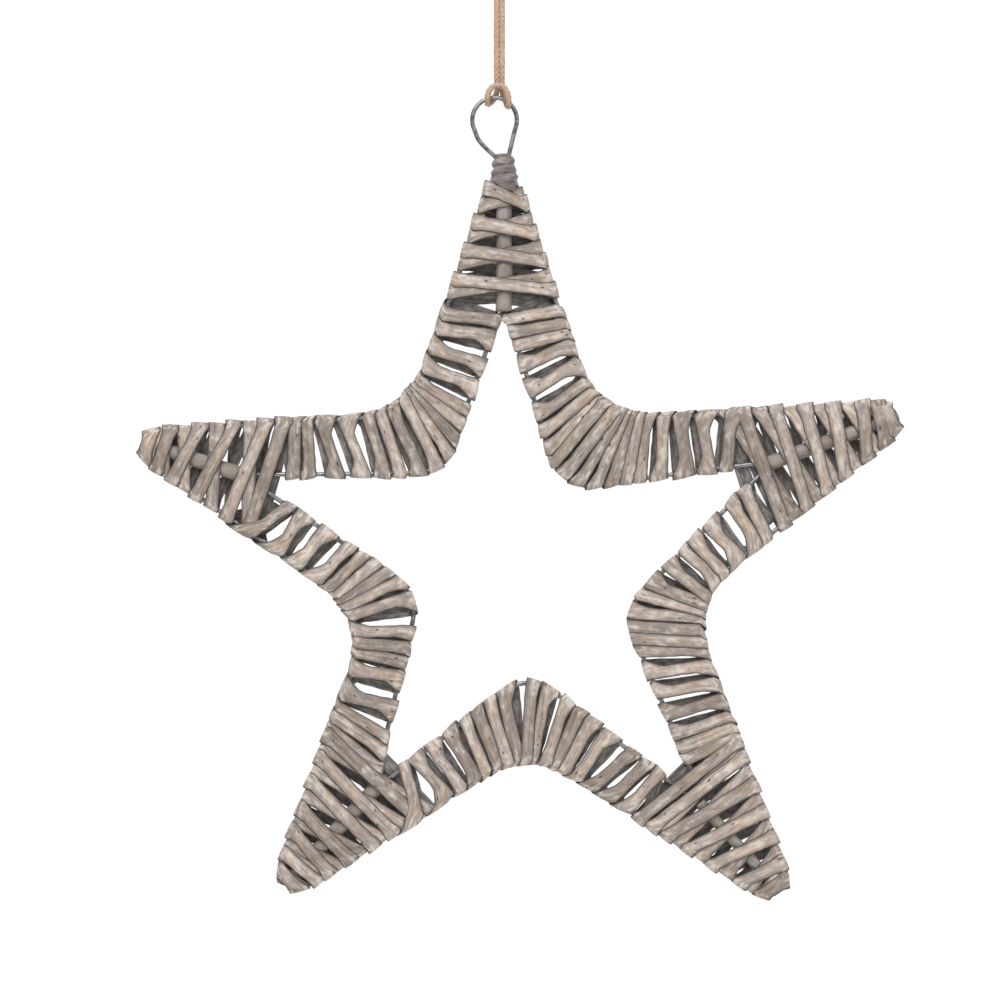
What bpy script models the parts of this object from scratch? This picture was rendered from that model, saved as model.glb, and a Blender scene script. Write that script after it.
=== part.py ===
"""Wicker star ornament: two bent wire stars, one inside the other, wound all round with flat willow strips.

In each tip a round willow cane lies between the strips, and at the top a wire eye hangs on a doubled jute twine.
Metres, +Z up, the star's front towards -Y. The origin is where a hook bears on the underside of the twine's loop.
"""

import math
from collections import namedtuple

import bmesh
import bpy
import numpy as np
from mathutils import Matrix, Vector

MM = 0.001

# The star frame: distances from the star's centre to the corners where the straight outer wires would meet
TIP_DISTANCE = 232.0 * MM
VALLEY_DISTANCE = 92.0 * MM
LEG_WIDTH = 27.5 * MM
WIRE_DIAMETER = 2.5 * MM
TIP_BEND = 9.3 * MM
TOP_TIP_BEND = 7.0 * MM
VALLEY_BEND = 37.0 * MM
INNER_TIP_BEND = 3.0 * MM
INNER_VALLEY_BEND = 22.0 * MM

# The willow strips and how they are wound
STRIP_WIDTH = 6.2 * MM
STRIP_THICKNESS = 0.7 * MM
LEG_PITCH = 10.8 * MM
LEG_PITCH_OUTER = 9.8 * MM
VALLEY_PITCH = 3.7 * MM
FAN_EASE = 3.0
FAN_STEP = 0.1
CROTCH_START = 13.6 * MM
LEAN = 2.1 * MM
STRIP_CLEARANCE = 0.7 * MM
WRAP_SHARE = 1.25
LAYER_CLEARANCE = 0.4 * MM
GATHER_CLEARANCE = 0.3 * MM
END_CLEARANCE = 1.5 * MM

# The canes
CANE_TAPER = 0.92
SHOULDER_SHARE = 0.55
CROSS_SHARE = 0.3
BEND_SHARE = 0.78
RIDGE_RISE = 1.1 * MM
TOUCH_GAP = 0.3 * MM

# The hanging eye and its binding, from the top down
EYE_TOP_DROP = 81.9 * MM
EYE_SHIFT = -2.6 * MM
EYE_WIRE_DIAMETER = 2.4 * MM
EYE_RADIUS = 12.4 * MM
EYE_FOOT_DROP = 19.6 * MM
EYE_LEFT_FOOT = -0.8 * MM
EYE_RIGHT_FOOT = 7.2 * MM
EYE_LEFT_ANGLE = 215.0
EYE_RIGHT_ANGLE = -25.0
TIP_SHIFT = 2.2 * MM
TIP_UNDER_EYE = 4.3 * MM
BINDING_OVER_FEET = 3.0 * MM
BINDING_LENGTH = 19.6 * MM
BINDING_SHIFT = 0.7 * MM
BINDING_TOP_DIAMETER = 9.5 * MM
BINDING_FOOT_DIAMETER = 13.4 * MM
BINDING_TURNS = 4
BINDING_BULGE = 0.8 * MM
BINDING_END_SHARE = 0.35
BINDING_LAP = 1.6 * MM

# The twine and the knot that joins its ends
TWINE_DIAMETER = 2.8 * MM
TWINE_FINE_STEP = 0.4 * MM
TWINE_BEND_STEP = 24.0
TWINE_STRAIGHT_STEP = 12.0 * MM
KNOT_PLACE = (3.4 * MM, 0.0, -16.0 * MM)
KNOT_DIAMETER = 7.0 * MM
KNOT_HEIGHT = 8.6 * MM

# Facets
WIRE_CHORD_ERROR = 0.25 * MM
EYE_POINTS = 16
CANE_SIDES = 12
BINDING_SIDES = 10
BINDING_TURN_POINTS = 3
KNOT_SIDES = 12
KNOT_RINGS = 8
SMOOTH_STEPS = 40
PATH_STEP = 0.25 * MM
PATH_CHORD_ERROR = 0.005 * MM

# Each corner of the hand-bent frame: its angle, its share of the regular distance, how far the inner wire's corner
# is set in as a share of the leg's width, and how far that inset is turned from the line to the star's centre
Corner = namedtuple("Corner", "name angle share inset turn")
TIPS = (
    Corner("right", 24.6, 1.033, 3.27, -4.1),
    Corner("top", 92.3, 1.034, 3.15, -2.3),
    Corner("left", 159.3, 1.006, 2.65, 3.7),
    Corner("bottom_left", 231.4, 0.939, 3.11, -3.3),
    Corner("bottom_right", 310.3, 0.988, 2.72, 0.4),
)
VALLEYS = (
    Corner("upper_right", 66.2, 1.066, 1.47, -3.0),
    Corner("upper_left", 122.7, 1.204, 1.32, -2.5),
    Corner("lower_left", 190.2, 0.879, 1.02, 15.6),
    Corner("bottom", 272.3, 0.901, 1.43, -2.8),
    Corner("lower_right", 355.6, 0.954, 1.23, 11.8),
)

# How each tip is wound: the first crossing's distance from the inner wire's corner, the number of crossings, how far
# the two strips run out of square to the tip, the cane's diameter, and whether the strips start with a run behind
# the cane. The last crossing is as far out as the tip's bend or its binding lets the strips go.
TipWinding = namedtuple("TipWinding", "first crossings over_lean under_lean cane from_behind")
TIP_WINDINGS = {
    "right": TipWinding(-7.5 * MM, 6, 6.6 * MM, 7.4 * MM, 8.2 * MM, False),
    "top": TipWinding(8.5 * MM, 4, 7.4 * MM, 7.4 * MM, 9.0 * MM, True),
    "left": TipWinding(-4.0 * MM, 4, 6.4 * MM, 8.0 * MM, 8.6 * MM, False),
    "bottom_left": TipWinding(-6.8 * MM, 6, 5.0 * MM, 8.0 * MM, 8.4 * MM, False),
    "bottom_right": TipWinding(-4.0 * MM, 5, 7.4 * MM, 5.0 * MM, 6.4 * MM, False),
}

WIRE_RADIUS = WIRE_DIAMETER / 2
STRIP_OFFSET = WIRE_RADIUS + STRIP_CLEARANCE + STRIP_THICKNESS / 2
WRAP_OFFSET = STRIP_OFFSET * WRAP_SHARE
LAYER_STEP = STRIP_THICKNESS + LAYER_CLEARANCE
EYE_CENTRE = np.array([EYE_SHIFT, -EYE_TOP_DROP - EYE_RADIUS])

# The twine's route: from the knot over the hook, down the left strand, through the eye and round its wire in a
# lark's head with the arch in front, and up the right strand to the knot again
TWINE_ROUTE = [
    (3.4, 0.0, -11.3),
    (3.6, 0.0, -6.0),
    (3.2, 0.0, -1.2),
    (1.8, 0.0, 0.9),
    (0.0, 0.0, 1.4),
    (-1.8, 0.0, 0.9),
    (-3.2, 0.0, -1.2),
    (-3.4, 0.0, -6.0),
    (-2.4, 0.0, -16.0),
    (-1.95, 0.2, -27.0),
    (-1.95, 0.3, -48.0),
    (-1.95, 0.4, -66.0),
    (-2.3, 1.2, -74.5),
    (-3.7, 2.7, -79.3),
    (-5.4, 2.9, -83.2),
    (-6.2, 1.5, -85.7),
    (-6.4, -0.9, -85.6),
    (-6.3, -2.8, -82.8),
    (-5.6, -2.9, -79.2),
    (-3.7, -2.5, -76.7),
    (-0.6, -2.4, -75.8),
    (2.4, -2.5, -77.0),
    (4.3, -2.9, -80.6),
    (5.0, -2.9, -85.0),
    (5.0, -1.3, -87.9),
    (4.7, 1.3, -88.0),
    (4.0, 2.9, -85.4),
    (2.7, 2.7, -79.6),
    (1.4, 1.2, -74.5),
    (1.35, 0.4, -66.0),
    (1.35, 0.3, -48.0),
    (1.35, 0.2, -30.0),
    (1.6, 0.0, -25.0),
    (3.0, 0.0, -20.7),
]


def direction(degrees):
    """The unit vector at an angle in the star's plane, as (x, z)."""
    return np.array([math.cos(math.radians(degrees)), math.sin(math.radians(degrees))])


def in_space(flat, depth=0.0):
    """Points (x, z) of the star's plane as (x, y, z), at a depth behind it."""
    flat = np.atleast_2d(flat)
    return np.column_stack([flat[:, 0], np.broadcast_to(depth, len(flat)), flat[:, 1]])


def corner_places(corner, distance, centre):
    """The corner of the outer wire and of the inner one, before they are rounded."""
    outer = centre + distance * corner.share * direction(corner.angle)
    inner = outer - LEG_WIDTH * corner.inset * direction(corner.angle + corner.turn)
    return outer, inner


def bend_at(corners, bends, i):
    """The centre of the arc that rounds a corner, the directions of its two sides and half the angle between them."""
    corner = corners[i]
    back = corners[i - 1] - corner
    on = corners[(i + 1) % len(corners)] - corner
    back /= np.linalg.norm(back)
    on /= np.linalg.norm(on)
    half = math.acos(float(np.clip(back @ on, -1, 1))) / 2
    middle = (back + on) / np.linalg.norm(back + on)
    return corner + middle * bends[i] / math.sin(half), back, on, half


def arc(corners, bends, i, chord_error):
    """The arc that rounds a corner, tangent to both its sides, as chords that stay within a distance of it."""
    centre, back, on, half = bend_at(corners, bends, i)
    start = corners[i] + back * bends[i] / math.tan(half) - centre
    end = corners[i] + on * bends[i] / math.tan(half) - centre
    sweep = math.atan2(start[0] * end[1] - start[1] * end[0], float(start @ end))
    step = 2 * math.acos(1 - chord_error / bends[i])
    turns = np.linspace(0, sweep, math.ceil(abs(sweep) / step) + 1)[:, None]
    return centre + np.cos(turns) * start + np.sin(turns) * np.array([-start[1], start[0]])


def rounded(corners, bends, chord_error):
    """A closed outline through the corners, each of them rounded."""
    return np.vstack([arc(corners, bends, i, chord_error) for i in range(len(corners))])


class Wire:
    """A closed wire: its corners and bends, and where its centre line is at any length along it."""

    def __init__(self, corners, bends):
        self.corners, self.bends = corners, bends
        fine = rounded(corners, bends, PATH_CHORD_ERROR)
        steps = np.linalg.norm(np.roll(fine, -1, axis=0) - fine, axis=1)
        self.length = float(steps.sum())
        self.knots = np.concatenate([[0], np.cumsum(steps)])
        self.line = np.vstack([fine, fine[:1]])

    def at(self, along):
        """The points (x, z) at these lengths along the wire."""
        along = np.mod(along, self.length)
        return np.column_stack([np.interp(along, self.knots, self.line[:, i]) for i in (0, 1)])

    def outward(self, along):
        """Unit vectors square to the wire, pointing away from the star's inside."""
        run = self.at(np.asarray(along) + PATH_STEP) - self.at(np.asarray(along) - PATH_STEP)
        run /= np.linalg.norm(run, axis=1)[:, None]
        return np.column_stack([run[:, 1], -run[:, 0]])

    def gone(self, start, end):
        """How far it is along the wire from one place to another, the shorter way, negative against its run."""
        return (end - start + self.length / 2) % self.length - self.length / 2

    def middle_of_bend(self, i):
        """The length along the wire at the middle of the arc that rounds a corner."""
        centre = bend_at(self.corners, self.bends, i)[0]
        return self.met_by(centre, self.corners[i] - centre)

    def met_by(self, start, towards):
        """The length along the wire where a ray from a point in the star's plane first meets it."""
        a = self.line[:-1] - start
        run = np.diff(self.line, axis=0)
        denominator = towards[0] * run[:, 1] - towards[1] * run[:, 0]
        denominator = np.where(abs(denominator) < 1e-12, 1e-12, denominator)
        ray = (a[:, 0] * run[:, 1] - a[:, 1] * run[:, 0]) / denominator
        share = (a[:, 0] * towards[1] - a[:, 1] * towards[0]) / denominator
        hit = (ray > 0) & (share >= 0) & (share <= 1)
        nearest = np.flatnonzero(hit)[np.argmin(ray[hit])]
        return self.knots[nearest] + share[nearest] * np.linalg.norm(run[nearest])


def star_wires(centre):
    """The outer and the inner wire. Their corners alternate, tip and valley, counter-clockwise from the right tip."""
    outer, inner, outer_bends, inner_bends = [], [], [], []
    for tip, valley in zip(TIPS, VALLEYS):
        for corner, distance in ((tip, TIP_DISTANCE), (valley, VALLEY_DISTANCE)):
            places = corner_places(corner, distance, centre)
            outer.append(places[0])
            inner.append(places[1])
        outer_bends += [TOP_TIP_BEND if tip.name == "top" else TIP_BEND, VALLEY_BEND]
        inner_bends += [INNER_TIP_BEND, INNER_VALLEY_BEND]
    return Wire(outer, outer_bends), Wire(inner, inner_bends)


def round_wire(wire, along, around, offset, side):
    """Points that lie round the wire: offset from its centre line, turned from the front (-90 degrees) over the
    side away from the wound space (0) to the back (90). side is 1 on the outer wire and -1 on the inner one."""
    flat = wire.at(along) + side * np.asarray(offset)[:, None] * math.cos(around) * wire.outward(along)
    return in_space(flat, np.asarray(offset) * math.sin(around))


class Strip:
    """A flat strip as two rails of points, one along each of its edges."""

    def __init__(self):
        self.rails = []

    def station(self, first, second):
        self.rails.append((first, second))

    def wrap(self, wire, side, turned, centre, width, layer=0.0):
        """Lays the strip on a wire, its edges half a width either way along it. Over the outside of a bend it
        stands off the wire by the height of the bend."""
        self.lay(wire, side, turned, centre + np.array([-0.5, 0.5]) * width, layer)

    def lay(self, wire, side, turned, along, layer):
        base = STRIP_OFFSET
        if turned == 0:
            bulge = wire.at(along.mean())[0] - wire.at(along).mean(axis=0)
            base = WRAP_OFFSET + max(0.0, side * float(bulge @ wire.outward([along.mean()])[0]))
        self.station(*round_wire(wire, along, math.radians(turned), [base + layer] * 2, side))


def fan_in(count, length):
    """Where turns 0 to count (which need not be whole) lie along a length of the outer wire that ends in the middle
    of a valley: LEG_PITCH_OUTER apart on the leg, closing up to VALLEY_PITCH where the strips fan out round the
    valley. Returns lengths for steps of a part of a turn, with the last one at the valley's middle."""
    turns = np.arange(count, -FAN_STEP / 2, -FAN_STEP)
    fanned = (count * LEG_PITCH_OUTER - length) / (LEG_PITCH_OUTER - VALLEY_PITCH)
    share = np.clip((fanned + FAN_EASE / 2 - (count - turns)) / FAN_EASE, 0, 1)
    pitch = LEG_PITCH_OUTER - (LEG_PITCH_OUTER - VALLEY_PITCH) * np.sin(share * math.pi / 2) ** 2
    from_valley = np.concatenate([[0], np.cumsum((pitch[1:] + pitch[:-1]) / 2 * -np.diff(turns))])
    return turns[::-1], (length - from_valley * length / from_valley[-1])[::-1]


def winding_places(outer, inner, i, starts):
    """Where the turns of the winding round valley i cross both wires, as lengths along the outer and the inner one.
    It starts and ends at these distances below the crotches, square to the tips' axes."""
    ends = []
    for tip, start in ((i, starts[0]), ((i + 1) % len(TIPS), starts[1])):
        frame = TipFrame(outer, inner, tip)
        valley = outer.corners[2 * i + 1]
        side = math.copysign(1, (valley - frame.foot) @ frame.across)
        ends.append((frame.wire_at(-start, side), frame.inner_at(-start, side)))
    middle_outer, middle_inner = outer.middle_of_bend(2 * i + 1), inner.middle_of_bend(2 * i + 1)
    first, last = (outer.gone(middle_outer, end[0]) for end in ends)
    inner_first, inner_last = (inner.gone(middle_inner, end[1]) for end in ends)
    count = int(round((inner_last - inner_first) / LEG_PITCH))
    at_valley = count * -inner_first / (inner_last - inner_first)
    turns, before = fan_in(at_valley, -first)
    turns_after, after = fan_in(count - at_valley, last)
    turns = np.concatenate([turns, count - turns_after[::-1]])
    along = np.concatenate([first + before, last - after[::-1]])
    along_outer = middle_outer + np.interp(np.arange(count + 1), turns, along)
    along_inner = middle_inner + np.linspace(inner_first, inner_last, count + 1)
    return along_outer, along_inner


def leg_winding(outer, inner, i, starts):
    """One strip wound round both wires from one tip's foot, round a valley, to the next tip's foot. Its front and
    back runs lean opposite ways and cross midway between the wires, so a lens-shaped gap stays between turns. Where
    the turns are closer on the outer wire than the strip is wide, the strip is gathered there."""
    along_outer, along_inner = winding_places(outer, inner, i, starts)
    pitch = np.gradient(along_outer)
    lean = np.minimum(LEAN, pitch / 4)
    room = np.diff(along_outer)
    room = np.minimum(np.append(room, room[-1]), np.append(room[0], room))
    width = np.minimum(STRIP_WIDTH, room - GATHER_CLEARANCE)
    strip = Strip()
    for k, (o, n) in enumerate(zip(along_outer, along_inner)):
        strip.wrap(outer, 1, -90, o - lean[k], width[k])
        strip.wrap(inner, -1, -90, n + LEAN, STRIP_WIDTH)
        strip.wrap(inner, -1, 0, n, STRIP_WIDTH)
        strip.wrap(inner, -1, 90, n - LEAN, STRIP_WIDTH)
        strip.wrap(outer, 1, 90, o + lean[k], width[k])
        if k + 1 < len(along_outer):
            strip.wrap(outer, 1, 0, (o + along_outer[k + 1]) / 2, min(width[k], width[k + 1]))
    return strip


class TipFrame:
    """A tip seen along its axis: from the inner wire's corner outwards, with a wire either side."""

    def __init__(self, outer, inner, i):
        self.outer, self.inner = outer, inner
        self.foot = inner.corners[2 * i]
        bend_centre = bend_at(outer.corners, outer.bends, 2 * i)[0]
        self.bend_centre = np.linalg.norm(bend_centre - self.foot)
        self.axis = (bend_centre - self.foot) / self.bend_centre
        self.across = np.array([self.axis[1], -self.axis[0]])
        self.bend = outer.bends[2 * i]
        self.apex = bend_centre + self.axis * self.bend
        inner_centre = bend_at(inner.corners, inner.bends, 2 * i)[0]
        reach = (inner_centre - self.foot) @ self.axis + inner.bends[2 * i]
        self.cane_start = reach + WIRE_RADIUS + TOUCH_GAP
        self.strips_end = self.bend_centre + self.bend * BEND_SHARE

    def stop_at_binding(self):
        """Ends the strips beside the foot of the binding that holds the tip to the eye."""
        foot = self.apex[1] + TIP_UNDER_EYE + BINDING_OVER_FEET - BINDING_LENGTH
        self.strips_end = (foot - self.foot[1]) / self.axis[1] + BINDING_LAP

    def wire_at(self, outwards, side):
        """The length along the outer wire on one side, at this distance out along the axis."""
        point = self.foot + self.axis * outwards
        return self.outer.met_by(point, self.across * side)

    def inner_at(self, outwards, side):
        """The same along the inner wire, below its corner."""
        return self.inner.met_by(self.foot + self.axis * outwards, self.across * side)

    def wrap(self, strip, outwards, side, turned, layer):
        """Lays the strip on the wire at one side, its edges half a width in and out along the axis."""
        along = np.array([self.wire_at(outwards + step * STRIP_WIDTH, side) for step in (-0.5, 0.5)])
        along[1] = along[0] + self.outer.gone(along[0], along[1])
        strip.lay(self.outer, 1, turned, along, layer)

    def shoulder(self, strip, outwards, half_width, height):
        """Lays the strip across the cane, at one of the two lines where it bends over it."""
        places = [
            self.foot + self.axis * (outwards + step * STRIP_WIDTH) + self.across * half_width
            for step in (-0.5, 0.5)
        ]
        strip.station(*in_space(places, height))


def tip_strip(frame, winding, over):
    """One of a tip's two strips. They are wound opposite ways and cross over the cane, front and back, and the
    strip that lies over is one layer further out."""
    lean = winding.over_lean if over else winding.under_lean
    end = frame.strips_end - (STRIP_WIDTH + max(winding.over_lean, winding.under_lean)) / 2
    pitch = (end - winding.first) / (winding.crossings - 1)
    side = 1 if over else -1
    layer = LAYER_STEP if over else 0.0
    raised = winding.cane / 2 + TOUCH_GAP + STRIP_THICKNESS / 2 + layer
    shoulder = SHOULDER_SHARE * winding.cane / 2 + layer
    strip = Strip()
    if winding.from_behind:
        start = winding.first - pitch + lean / 2
        frame.wrap(strip, start, -side, 90, layer)
        frame.shoulder(strip, (start + winding.first - lean / 2) / 2, 0.0, raised + RIDGE_RISE)
        frame.wrap(strip, winding.first - lean / 2, side, 90, layer)
        frame.wrap(strip, winding.first - lean / 2, side, 0, layer)
    for k in range(winding.crossings):
        centre = winding.first + k * pitch
        last = k == winding.crossings - 1
        over_cane = centre + STRIP_WIDTH / 2 + TOUCH_GAP > frame.cane_start
        front = raised if over_cane else STRIP_OFFSET + layer
        near, far = centre - lean / 2, centre + lean / 2
        slope = lean / 2 * CROSS_SHARE
        frame.wrap(strip, near, side, -90, layer)
        frame.shoulder(strip, centre - slope, side * shoulder, -front)
        frame.shoulder(strip, centre + slope, -side * shoulder, -front)
        frame.wrap(strip, far, -side, -90, layer)
        frame.wrap(strip, far, -side, 0, layer)
        if last:
            break
        onwards = near + pitch
        behind = (far + onwards) / 2
        over_cane = behind + STRIP_WIDTH / 2 + TOUCH_GAP > frame.cane_start
        back = raised if over_cane else STRIP_OFFSET + layer
        frame.wrap(strip, far, -side, 90, layer)
        frame.shoulder(strip, behind, 0.0, back + (RIDGE_RISE if over_cane else 0.0))
        frame.wrap(strip, onwards, side, 90, layer)
        frame.wrap(strip, onwards, side, 0, layer)
    return strip


def smooth_line(route, spacing):
    """Points a spacing apart on a smooth curve through the route's points (a centripetal Catmull-Rom curve)."""
    route = np.asarray(route, float)
    padded = np.vstack([2 * route[0] - route[1], route, 2 * route[-1] - route[-2]])
    fine = []
    for p0, p1, p2, p3 in zip(padded, padded[1:], padded[2:], padded[3:]):
        t1 = np.linalg.norm(p1 - p0) ** 0.5
        t2 = t1 + np.linalg.norm(p2 - p1) ** 0.5
        t3 = t2 + np.linalg.norm(p3 - p2) ** 0.5
        t = np.linspace(t1, t2, SMOOTH_STEPS, endpoint=False)[:, None]
        a1 = (t1 - t) / t1 * p0 + t / t1 * p1
        a2 = (t2 - t) / (t2 - t1) * p1 + (t - t1) / (t2 - t1) * p2
        a3 = (t3 - t) / (t3 - t2) * p2 + (t - t2) / (t3 - t2) * p3
        b1 = (t2 - t) / t2 * a1 + t / t2 * a2
        b2 = (t3 - t) / (t3 - t1) * a2 + (t - t1) / (t3 - t1) * a3
        fine.append((t2 - t) / (t2 - t1) * b1 + (t - t1) / (t2 - t1) * b2)
    fine = np.vstack(fine + [route[-1:]])
    steps = np.concatenate([[0], np.cumsum(np.linalg.norm(np.diff(fine, axis=0), axis=1))])
    count = max(2, int(round(steps[-1] / spacing)) + 1)
    even = np.linspace(0, steps[-1], count)
    return np.column_stack([np.interp(even, steps, fine[:, i]) for i in range(3)])


def new_material(name, colour, roughness, metallic=0.0):
    material = bpy.data.materials.new(name)
    material.use_nodes = True
    shader = material.node_tree.nodes["Principled BSDF"]
    shader.inputs["Base Color"].default_value = (*colour, 1)
    shader.inputs["Roughness"].default_value = roughness
    shader.inputs["Metallic"].default_value = metallic
    return material


def add_object(name, data, collection, material):
    obj = bpy.data.objects.new(name, data)
    collection.objects.link(obj)
    data.materials.append(material)
    return obj


def add_tube(name, points, diameter, collection, material, sides=6, closed=False):
    """A round tube along a line of points."""
    curve = bpy.data.curves.new(name, "CURVE")
    curve.dimensions = "3D"
    curve.bevel_depth = diameter / 2
    curve.bevel_resolution = sides // 2 - 2
    curve.use_fill_caps = not closed
    spline = curve.splines.new("POLY")
    spline.points.add(len(points) - 1)
    spline.use_cyclic_u = closed
    for point, place in zip(spline.points, points):
        point.co = (*place, 1)
    return add_object(name, curve, collection, material)


def add_strip(name, strip, collection, material):
    """The strip as a closed band of four rails. Where it folds, the rails are set off along the mitre of the faces
    before and after the fold, so the strip is equally thick all along."""
    rails = np.array(strip.rails)
    count = len(rails)
    normal = np.cross(rails[1:, 1] - rails[:-1, 0], rails[1:, 0] - rails[:-1, 1])
    normal /= np.linalg.norm(normal, axis=1)[:, None]
    before = np.vstack([normal[:1], normal])
    after = np.vstack([normal, normal[-1:]])
    mitre = (before + after) / (1 + (before * after).sum(axis=1))[:, None]
    raised = mitre[:, None, :] * STRIP_THICKNESS / 2
    sections = np.stack([rails[:, 0] + raised[:, 0], rails[:, 1] + raised[:, 0]], axis=1)
    sections = np.concatenate([sections, rails[:, ::-1] - raised], axis=1)
    faces = [(3, 2, 1, 0), tuple(4 * count - 4 + corner for corner in range(4))]
    for i in range(count - 1):
        for corner in range(4):
            onwards = (corner + 1) % 4
            faces.append((4 * i + corner, 4 * i + onwards, 4 * i + 4 + onwards, 4 * i + 4 + corner))
    mesh = bpy.data.meshes.new(name)
    mesh.from_pydata(sections.reshape(-1, 3).tolist(), [], faces)
    solid = bmesh.new()
    solid.from_mesh(mesh)
    bmesh.ops.recalc_face_normals(solid, faces=solid.faces)
    solid.to_mesh(mesh)
    solid.free()
    return add_object(name, mesh, collection, material)


def mesh_copy(obj, name):
    """The object's evaluated shape as a closed mesh object of its own, ready to be a Boolean's cutter."""
    graph = bpy.context.evaluated_depsgraph_get()
    mesh = bpy.data.meshes.new_from_object(obj.evaluated_get(graph))
    mesh.name = name
    solid = bmesh.new()
    solid.from_mesh(mesh)
    bmesh.ops.remove_doubles(solid, verts=solid.verts, dist=1e-6)
    bmesh.ops.recalc_face_normals(solid, faces=solid.faces)
    solid.to_mesh(mesh)
    solid.free()
    copy = bpy.data.objects.new(name, mesh)
    copy.matrix_world = obj.matrix_world
    return copy


def add_cane(name, frame, winding, collection, material, wider=0.0):
    """The round cane in a tip, from the inner wire's bend to as far into the outer wire's bend as it fits. It can be
    made wider all round, to cut its way."""
    radius = winding.cane / 2
    room = frame.bend - WIRE_RADIUS - TOUCH_GAP
    end = frame.bend_centre + math.sqrt(room**2 - (radius * CANE_TAPER) ** 2)
    middle = frame.foot + frame.axis * (frame.cane_start + end) / 2
    bpy.ops.mesh.primitive_cone_add(
        vertices=CANE_SIDES,
        radius1=radius + wider,
        radius2=radius * CANE_TAPER + wider,
        depth=end - frame.cane_start + 2 * wider,
    )
    cane = bpy.context.object
    axis = Vector((frame.axis[0], 0, frame.axis[1]))
    place = Vector((middle[0], 0, middle[1]))
    cane.matrix_world = Matrix.Translation(place) @ axis.to_track_quat("Z", "Y").to_matrix().to_4x4()
    cane.name = cane.data.name = name
    for owner in cane.users_collection:
        owner.objects.unlink(cane)
    collection.objects.link(cane)
    cane.data.materials.append(material)
    return cane


def eye_line():
    """The eye: most of a circle, open below, and a straight foot from each of its ends down into the binding."""
    angles = np.linspace(EYE_LEFT_ANGLE, EYE_RIGHT_ANGLE, EYE_POINTS)
    ring = EYE_CENTRE + EYE_RADIUS * np.array([direction(angle) for angle in angles])
    left = EYE_CENTRE + np.array([EYE_LEFT_FOOT, -EYE_FOOT_DROP])
    right = EYE_CENTRE + np.array([EYE_RIGHT_FOOT, -EYE_FOOT_DROP])
    return in_space(np.vstack([left, ring, right]))


def add_binding(frame, collection, material):
    """The wound binding over the tip: a turned shape with one bulge a turn, widening downwards."""
    top = EYE_CENTRE[1] - EYE_FOOT_DROP + BINDING_OVER_FEET
    count = BINDING_TURNS * BINDING_TURN_POINTS
    profile = [(0.0, top)]
    for step in range(count + 1):
        share = step / count
        taper = BINDING_TOP_DIAMETER + (BINDING_FOOT_DIAMETER - BINDING_TOP_DIAMETER) * share
        bulge = BINDING_BULGE * abs(math.sin(math.pi * BINDING_TURNS * share))
        end = BINDING_END_SHARE * BINDING_BULGE * (step in (0, count))
        profile.append((taper / 2 - BINDING_BULGE + bulge - end, top - BINDING_LENGTH * share))
    profile.append((0.0, top - BINDING_LENGTH))
    mesh = bpy.data.meshes.new("top_binding")
    centre_x = frame.apex[0] + BINDING_SHIFT
    mesh.from_pydata([(x, 0, z) for x, z in profile], [(i, i + 1) for i in range(len(profile) - 1)], [])
    binding = add_object("top_binding", mesh, collection, material)
    binding.location = (centre_x, 0, 0)
    turned = binding.modifiers.new("Turned", "SCREW")
    turned.steps = turned.render_steps = BINDING_SIDES
    turned.use_merge_vertices = True
    turned.merge_threshold = 0.00001
    return binding


def cut(obj, cutter, helpers):
    """Takes the cutter's shape out of the object."""
    cutter.hide_render = True
    cutter.display_type = "WIRE"
    if cutter.name not in helpers.objects:
        helpers.objects.link(cutter)
    hole = obj.modifiers.new("Cut " + cutter.name, "BOOLEAN")
    hole.operation = "DIFFERENCE"
    hole.object = cutter


def twine_line():
    """The twine's centre line, with points close together only where it bends."""
    fine = smooth_line(np.array(TWINE_ROUTE) * MM, TWINE_FINE_STEP)
    kept = [fine[0]]
    last = 0
    for i in range(1, len(fine) - 1):
        gone = np.linalg.norm(fine[i] - kept[-1])
        start = fine[last + 1] - fine[last]
        here = fine[i + 1] - fine[i]
        cosine = start @ here / (np.linalg.norm(start) * np.linalg.norm(here))
        if gone > TWINE_STRAIGHT_STEP or cosine < math.cos(math.radians(TWINE_BEND_STEP)):
            kept.append(fine[i])
            last = i
    return np.array(kept + [fine[-1]])


def add_knot(collection, material):
    """The knot that joins the twine's two ends, as one rounded lump."""
    bpy.ops.mesh.primitive_uv_sphere_add(segments=KNOT_SIDES, ring_count=KNOT_RINGS, radius=1)
    knot = bpy.context.object
    knot.data.transform(Matrix.Diagonal((KNOT_DIAMETER / 2, KNOT_DIAMETER / 2, KNOT_HEIGHT / 2, 1)))
    knot.location = KNOT_PLACE
    knot.name = knot.data.name = "twine_knot"
    for owner in knot.users_collection:
        owner.objects.unlink(knot)
    collection.objects.link(knot)
    knot.data.materials.append(material)
    return knot


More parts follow.
